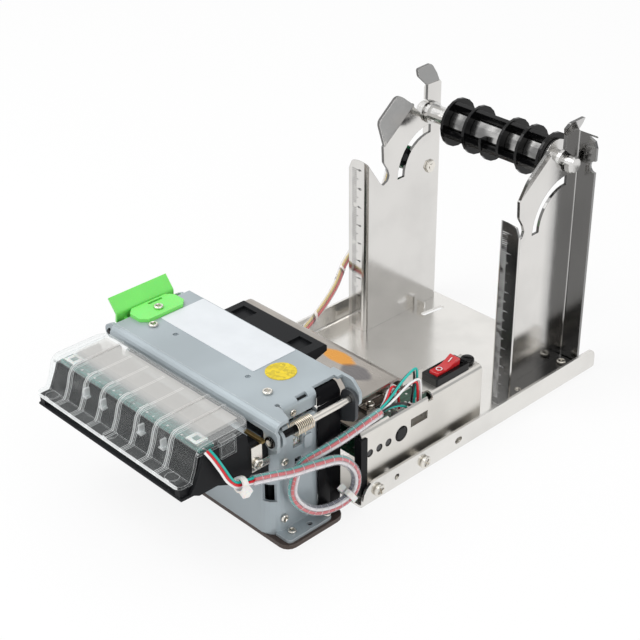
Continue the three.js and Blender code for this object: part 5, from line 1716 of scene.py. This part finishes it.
@dataclass
class HingeSpring(Assembly):
    """The torsion spring on the hinge shaft.

    Attributes:
        turns: how many curls it has.
        pitch: how far apart they are.
        front: the Y of its first curl.
        centre: the shaft's X and Z.
        mean: the curls' radius.
        wire: the wire's radius.
        front_leg: the upper leg's points, in X and Y from the shaft and the first curl, and in Z.
        rear_leg: how far beside the shaft and behind the last curl the lower leg is.
        rear_leg_z: its upper and lower end.
        steps: how many stretches a curl has.
    """

    turns: int = 10
    pitch: float = 0.917
    front: float = -87.3
    centre: tuple[float, float] = (54.7, 55.7)
    mean: float = 2.95
    wire: float = 0.25
    front_leg: tuple[Point, Point] = ((-1.1, -2.1, 62.0), (-2.6, -1.6, 59.4))
    rear_leg: tuple[float, float] = (-3.3, 0.25)
    rear_leg_z: tuple[float, float] = (51.5, 47.2)
    steps: int = 28

    def build(self) -> None:
        """Winds the spring in finer steps than its solid."""
        x, z = self.centre
        line = [Vector((x + out, self.front + along, height)) for out, along, height in self.front_leg]
        for i in range(self.turns * self.steps + 1):
            angle = math.pi + 2 * math.pi * i / self.steps
            across, up = self.mean * math.cos(angle), self.mean * math.sin(angle)
            line.append(Vector((x + across, self.front + self.pitch * i / self.steps, z + up)))
        rear = self.front + self.pitch * self.turns + self.rear_leg[1]
        line += [Vector((x + self.rear_leg[0], rear, height)) for height in self.rear_leg_z]
        self.keep(tube("wound_spring", line, self.wire, 2), SPRING_STEEL, "bright_steel", "torsion_spring")


@dataclass
class Cover(Assembly):
    """The hinged cover with its label, latch and head.

    Attributes:
        cover_screw: where the right screw sits; the left one is its mirror image.
        latch_screw: where the latch's screw sits.
        bend_screw: where the small screw on the bend sits.
        screw: a head's radius and height.
        small_screw: those of the small screw.
        hole_plate: the lowest and highest corners of the dark plate under the hole in its bend.
        cable_edge: those of the flat cable's front edge.
    """

    body = "cover"
    cover_screw: Point = (37.3, -85.4, 64.3)
    latch_screw: Point = (-45.7, -75.7, 66.0)
    bend_screw: Point = (49.2, -82.7, 59.1)
    screw: tuple[float, float] = (2.2, 1.3)
    small_screw: tuple[float, float] = (1.6, 0.8)
    hole_plate: tuple[Point, Point] = ((42.6, -80.6, 61.6), (47.9, -72.7, 62.7))
    cable_edge: tuple[Point, Point] = ((50.3, -70.4, 56.8), (50.8, -68.6, 61.2))

    def build(self) -> None:
        """Dresses the nodes and adds the screws' heads."""
        BLUE_GREY.dress("top_cover")
        GREEN.dress("latch_plate", "latch_lever")
        GLOSS_BLACK.dress("latch_pin")
        BLACK.dress("paper_inlet_guide")
        ALUMINIUM.dress("print_head")
        BLADE.dress("fixed_blade")
        LABEL.dress("label_plate")
        GOLD.dress("round_sticker")
        FLAT_CABLE.dress("flat_cable_cover")
        x, y, z = self.cover_screw
        rows = [
            (f"cover_screw_head_{hand}", (side * x, y, z), Facing.UP, turn, f"cover_screw_{hand}")
            for hand, side, turn in (("left", -1, 20), ("right", 1, 55))
        ]
        rows.append(("latch_screw_head", self.latch_screw, Facing.UP, 35, "latch_screw"))
        self.screws(Screw(*self.screw), rows)
        self.screws(Screw(*self.small_screw), [("bend_screw_head", self.bend_screw, Facing.RIGHT, 20)])
        plate = Bench.to_frame(Bench.block("hole_plate", *self.hole_plate, 0.2))
        self.keep(plate, BLACK, "black_plastic")
        strip = Bench.to_frame(Bench.block("flat_cable_edge", *self.cable_edge, 0.15))
        self.keep(strip, FLAT_CABLE, "flat_cable")


@dataclass
class Bezel(Assembly):
    """The clear bezel with its black base and its lights.

    Attributes:
        hooks: the X of the hooks on its front wall.
        hook_step: half the width of a hook's foot, with the Y and Z that it spans.
        hook_lug: the same for its lug.
        housings: the X where each light's housing starts.
        housing: a housing's width, with the Y and Z that it spans.
        housing_well: where its hollow starts and ends in width, with the Y and Z that it spans.
        screw_at: where the screw's head sits.
        screw: its radius and height.
    """

    hooks: Sequence[float] = (-22.2, -10.7, 14.6, 28.7)
    hook_step: tuple[float, ...] = (1.6, -134.4, -131.6, 56.0, 57.0)
    hook_lug: tuple[float, ...] = (0.6, -134.2, -131.4, 56.8, 60.6)
    housings: tuple[float, float] = (-44.0, 36.8)
    housing: tuple[float, ...] = (6.8, -128.2, -122.0, 61.9, 63.1)
    housing_well: tuple[float, ...] = (2.0, 4.8, -126.6, -123.6, 62.3, 64.0)
    screw_at: Point = (49.9, -103.0, 44.6)
    screw: tuple[float, float] = (2.5, 1.5)

    def build(self) -> None:
        """Dresses the nodes and adds the hooks and the screw's head."""
        CLEAR.dress("bezel_hood")
        BLACK.dress("bezel_base")
        TEAL_BOARD.dress("led_board")
        BRIGHT.dress("bezel_bracket")
        BRASS.dress("brass_strip")
        for i, x in enumerate(self.hooks):
            parts = []
            for name, (half, front, rear, low, high), soft in (
                ("hook_step", self.hook_step, 0.3), ("hook_lug", self.hook_lug, 0.25),
            ):
                parts.append(Bench.block(name, (x - half, front, low), (x + half, rear, high), soft))
            hook = Bench.to_frame(Bench.join(f"hood_hook_{i + 1}", *parts))
            self.keep(hook, MILKY, "clear_plastic")
        width, front, rear, low, high = self.housing
        start, end, well_front, well_rear, well_low, well_high = self.housing_well
        for hand, x in zip(("left", "right"), self.housings):
            box = Bench.block(f"light_housing_{hand}", (x, front, low), (x + width, rear, high), 0.3)
            well = Bench.block("well", (x + start, well_front, well_low), (x + end, well_rear, well_high))
            self.keep(Bench.to_frame(Bench.carve(box, well)), WHITE, "white_plastic")
        self.screws(Screw(*self.screw), [("bezel_screw_head", self.screw_at, Facing.RIGHT, 15, "bezel_screw")])


@dataclass
class Studio:
    """Plain soft studio light over a pale floor.

    Attributes:
        ambient: the strength of the even light.
        lamps: each lamp's name, place and side in metres, and power in watts.
        aim: the height of the point that they look at, in metres.
        room: the colour that metal mirrors between the white cards.
        floor_size: the floor's side, in metres.
        floor_tone: the floor's colour.
        floor_white: how much of the floor is plain white to the camera.
    """

    ambient: float = 0.8
    lamps: tuple[tuple[str, Point, float, float], ...] = (
        ("key_lamp", (-0.35, -0.55, 1.05), 0.75, 6.4),
        ("fill_lamp", (0.95, -0.1, 0.55), 0.6, 2.0),
    )
    aim: float = 0.05
    room: Colour = (0.42, 0.43, 0.44)
    floor_size: float = 6.0
    floor_tone: Colour = (0.86, 0.86, 0.86)
    floor_white: float = 0.85

    def build(self) -> None:
        """Makes the world, the lamps and the floor."""
        bpy.context.scene.view_settings.view_transform = "Standard"
        self._world()
        for lamp in self.lamps:
            self._lamp(*lamp)
        self._floor()

    def _world(self) -> None:
        """A white world for the camera, and a shaded one for metal."""
        world = bpy.data.worlds.new("studio_world")
        bpy.context.scene.world = world
        world.use_nodes = True
        paint = Paint(world.node_tree)
        rays = {
            name: paint.node("ShaderNodeLightPath", output=name)
            for name in ("Is Camera Ray", "Is Glossy Ray", "Is Transmission Ray")
        }
        way = paint.node("ShaderNodeTexCoord", output="Generated")
        x, y, z = (paint.node("ShaderNodeSeparateXYZ", inputs={0: way}, output=i) for i in range(3))
        cards = (x * 0.8 + y * 0.6).ramp(0.1, 0.55) * (1.0 - z.ramp(0.25, 0.75))
        metal_view = paint.blend(cards, (1.0, 1.0, 1.0), self.room)
        even = (self.ambient,) * 3
        lit = paint.blend(rays["Is Glossy Ray"], even, metal_view)
        seen = paint.node("ShaderNodeClamp", inputs={"Value": rays["Is Camera Ray"] + rays["Is Transmission Ray"]})
        colour = paint.blend(seen, lit, (1.0, 1.0, 1.0))
        paint.finish(paint.node("ShaderNodeBackground", inputs={"Color": colour}), "ShaderNodeOutputWorld")

    def _lamp(self, name: str, place: Point, size: float, power: float) -> None:
        """A square lamp that looks at the printer.

        Args:
            name: the lamp's name.
            place: where it is, in metres.
            size: its side, in metres.
            power: its power, in watts.
        """
        data = bpy.data.lights.new(name, "AREA")
        data.shape, data.size, data.energy = "SQUARE", size, power
        lamp = bpy.data.objects.new(name, data)
        lamp.location = place
        lamp.rotation_mode = "QUATERNION"
        lamp.rotation_quaternion = (Vector(place) - Vector((0, 0, self.aim))).to_track_quat("Z", "Y")
        bpy.context.scene.collection.objects.link(lamp)

    def _floor(self) -> None:
        """A pale floor that keeps the printer's shadow."""
        Bench.clear()
        bpy.ops.mesh.primitive_plane_add(size=self.floor_size, location=(0, 0, -0.0002))
        floor = bpy.context.object
        floor.name = "studio_floor"
        material = bpy.data.materials.new("studio_floor")
        material.use_nodes = True
        paint = Paint(material.node_tree)
        rays = [
            paint.node("ShaderNodeLightPath", output=name)
            for name in ("Is Camera Ray", "Is Glossy Ray", "Is Transmission Ray")
        ]
        share = paint.node("ShaderNodeClamp", inputs={"Value": rays[0] + rays[1] + rays[2]})
        plain = paint.node("ShaderNodeBsdfDiffuse", inputs={"Color": self.floor_tone})
        white = paint.node("ShaderNodeEmission", inputs={"Color": (1.0, 1.0, 1.0), "Strength": 1.0})
        paint.finish(paint.node("ShaderNodeMixShader", inputs={0: share * self.floor_white, 1: plain, 2: white}))
        floor.data.materials.append(material)


def main() -> None:
    """Builds the camera, the cords, the sub-assemblies and the studio."""
    logging.basicConfig(level=logging.INFO, format="%(message)s")
    PhotoCamera().build()
    assemblies = (
        Harness(), SensorLead(), Tray(), Uprights(), Spindle(), ControlBox(), Bridge(), PrinterFrame(),
        HingeSpring(), Cover(), Bezel(),
    )
    for assembly in assemblies:
        LOG.info("building %s", type(assembly).__name__)
        assembly.build()
    Studio().build()
    Bench.clear()


if __name__ == "__main__":
    main()
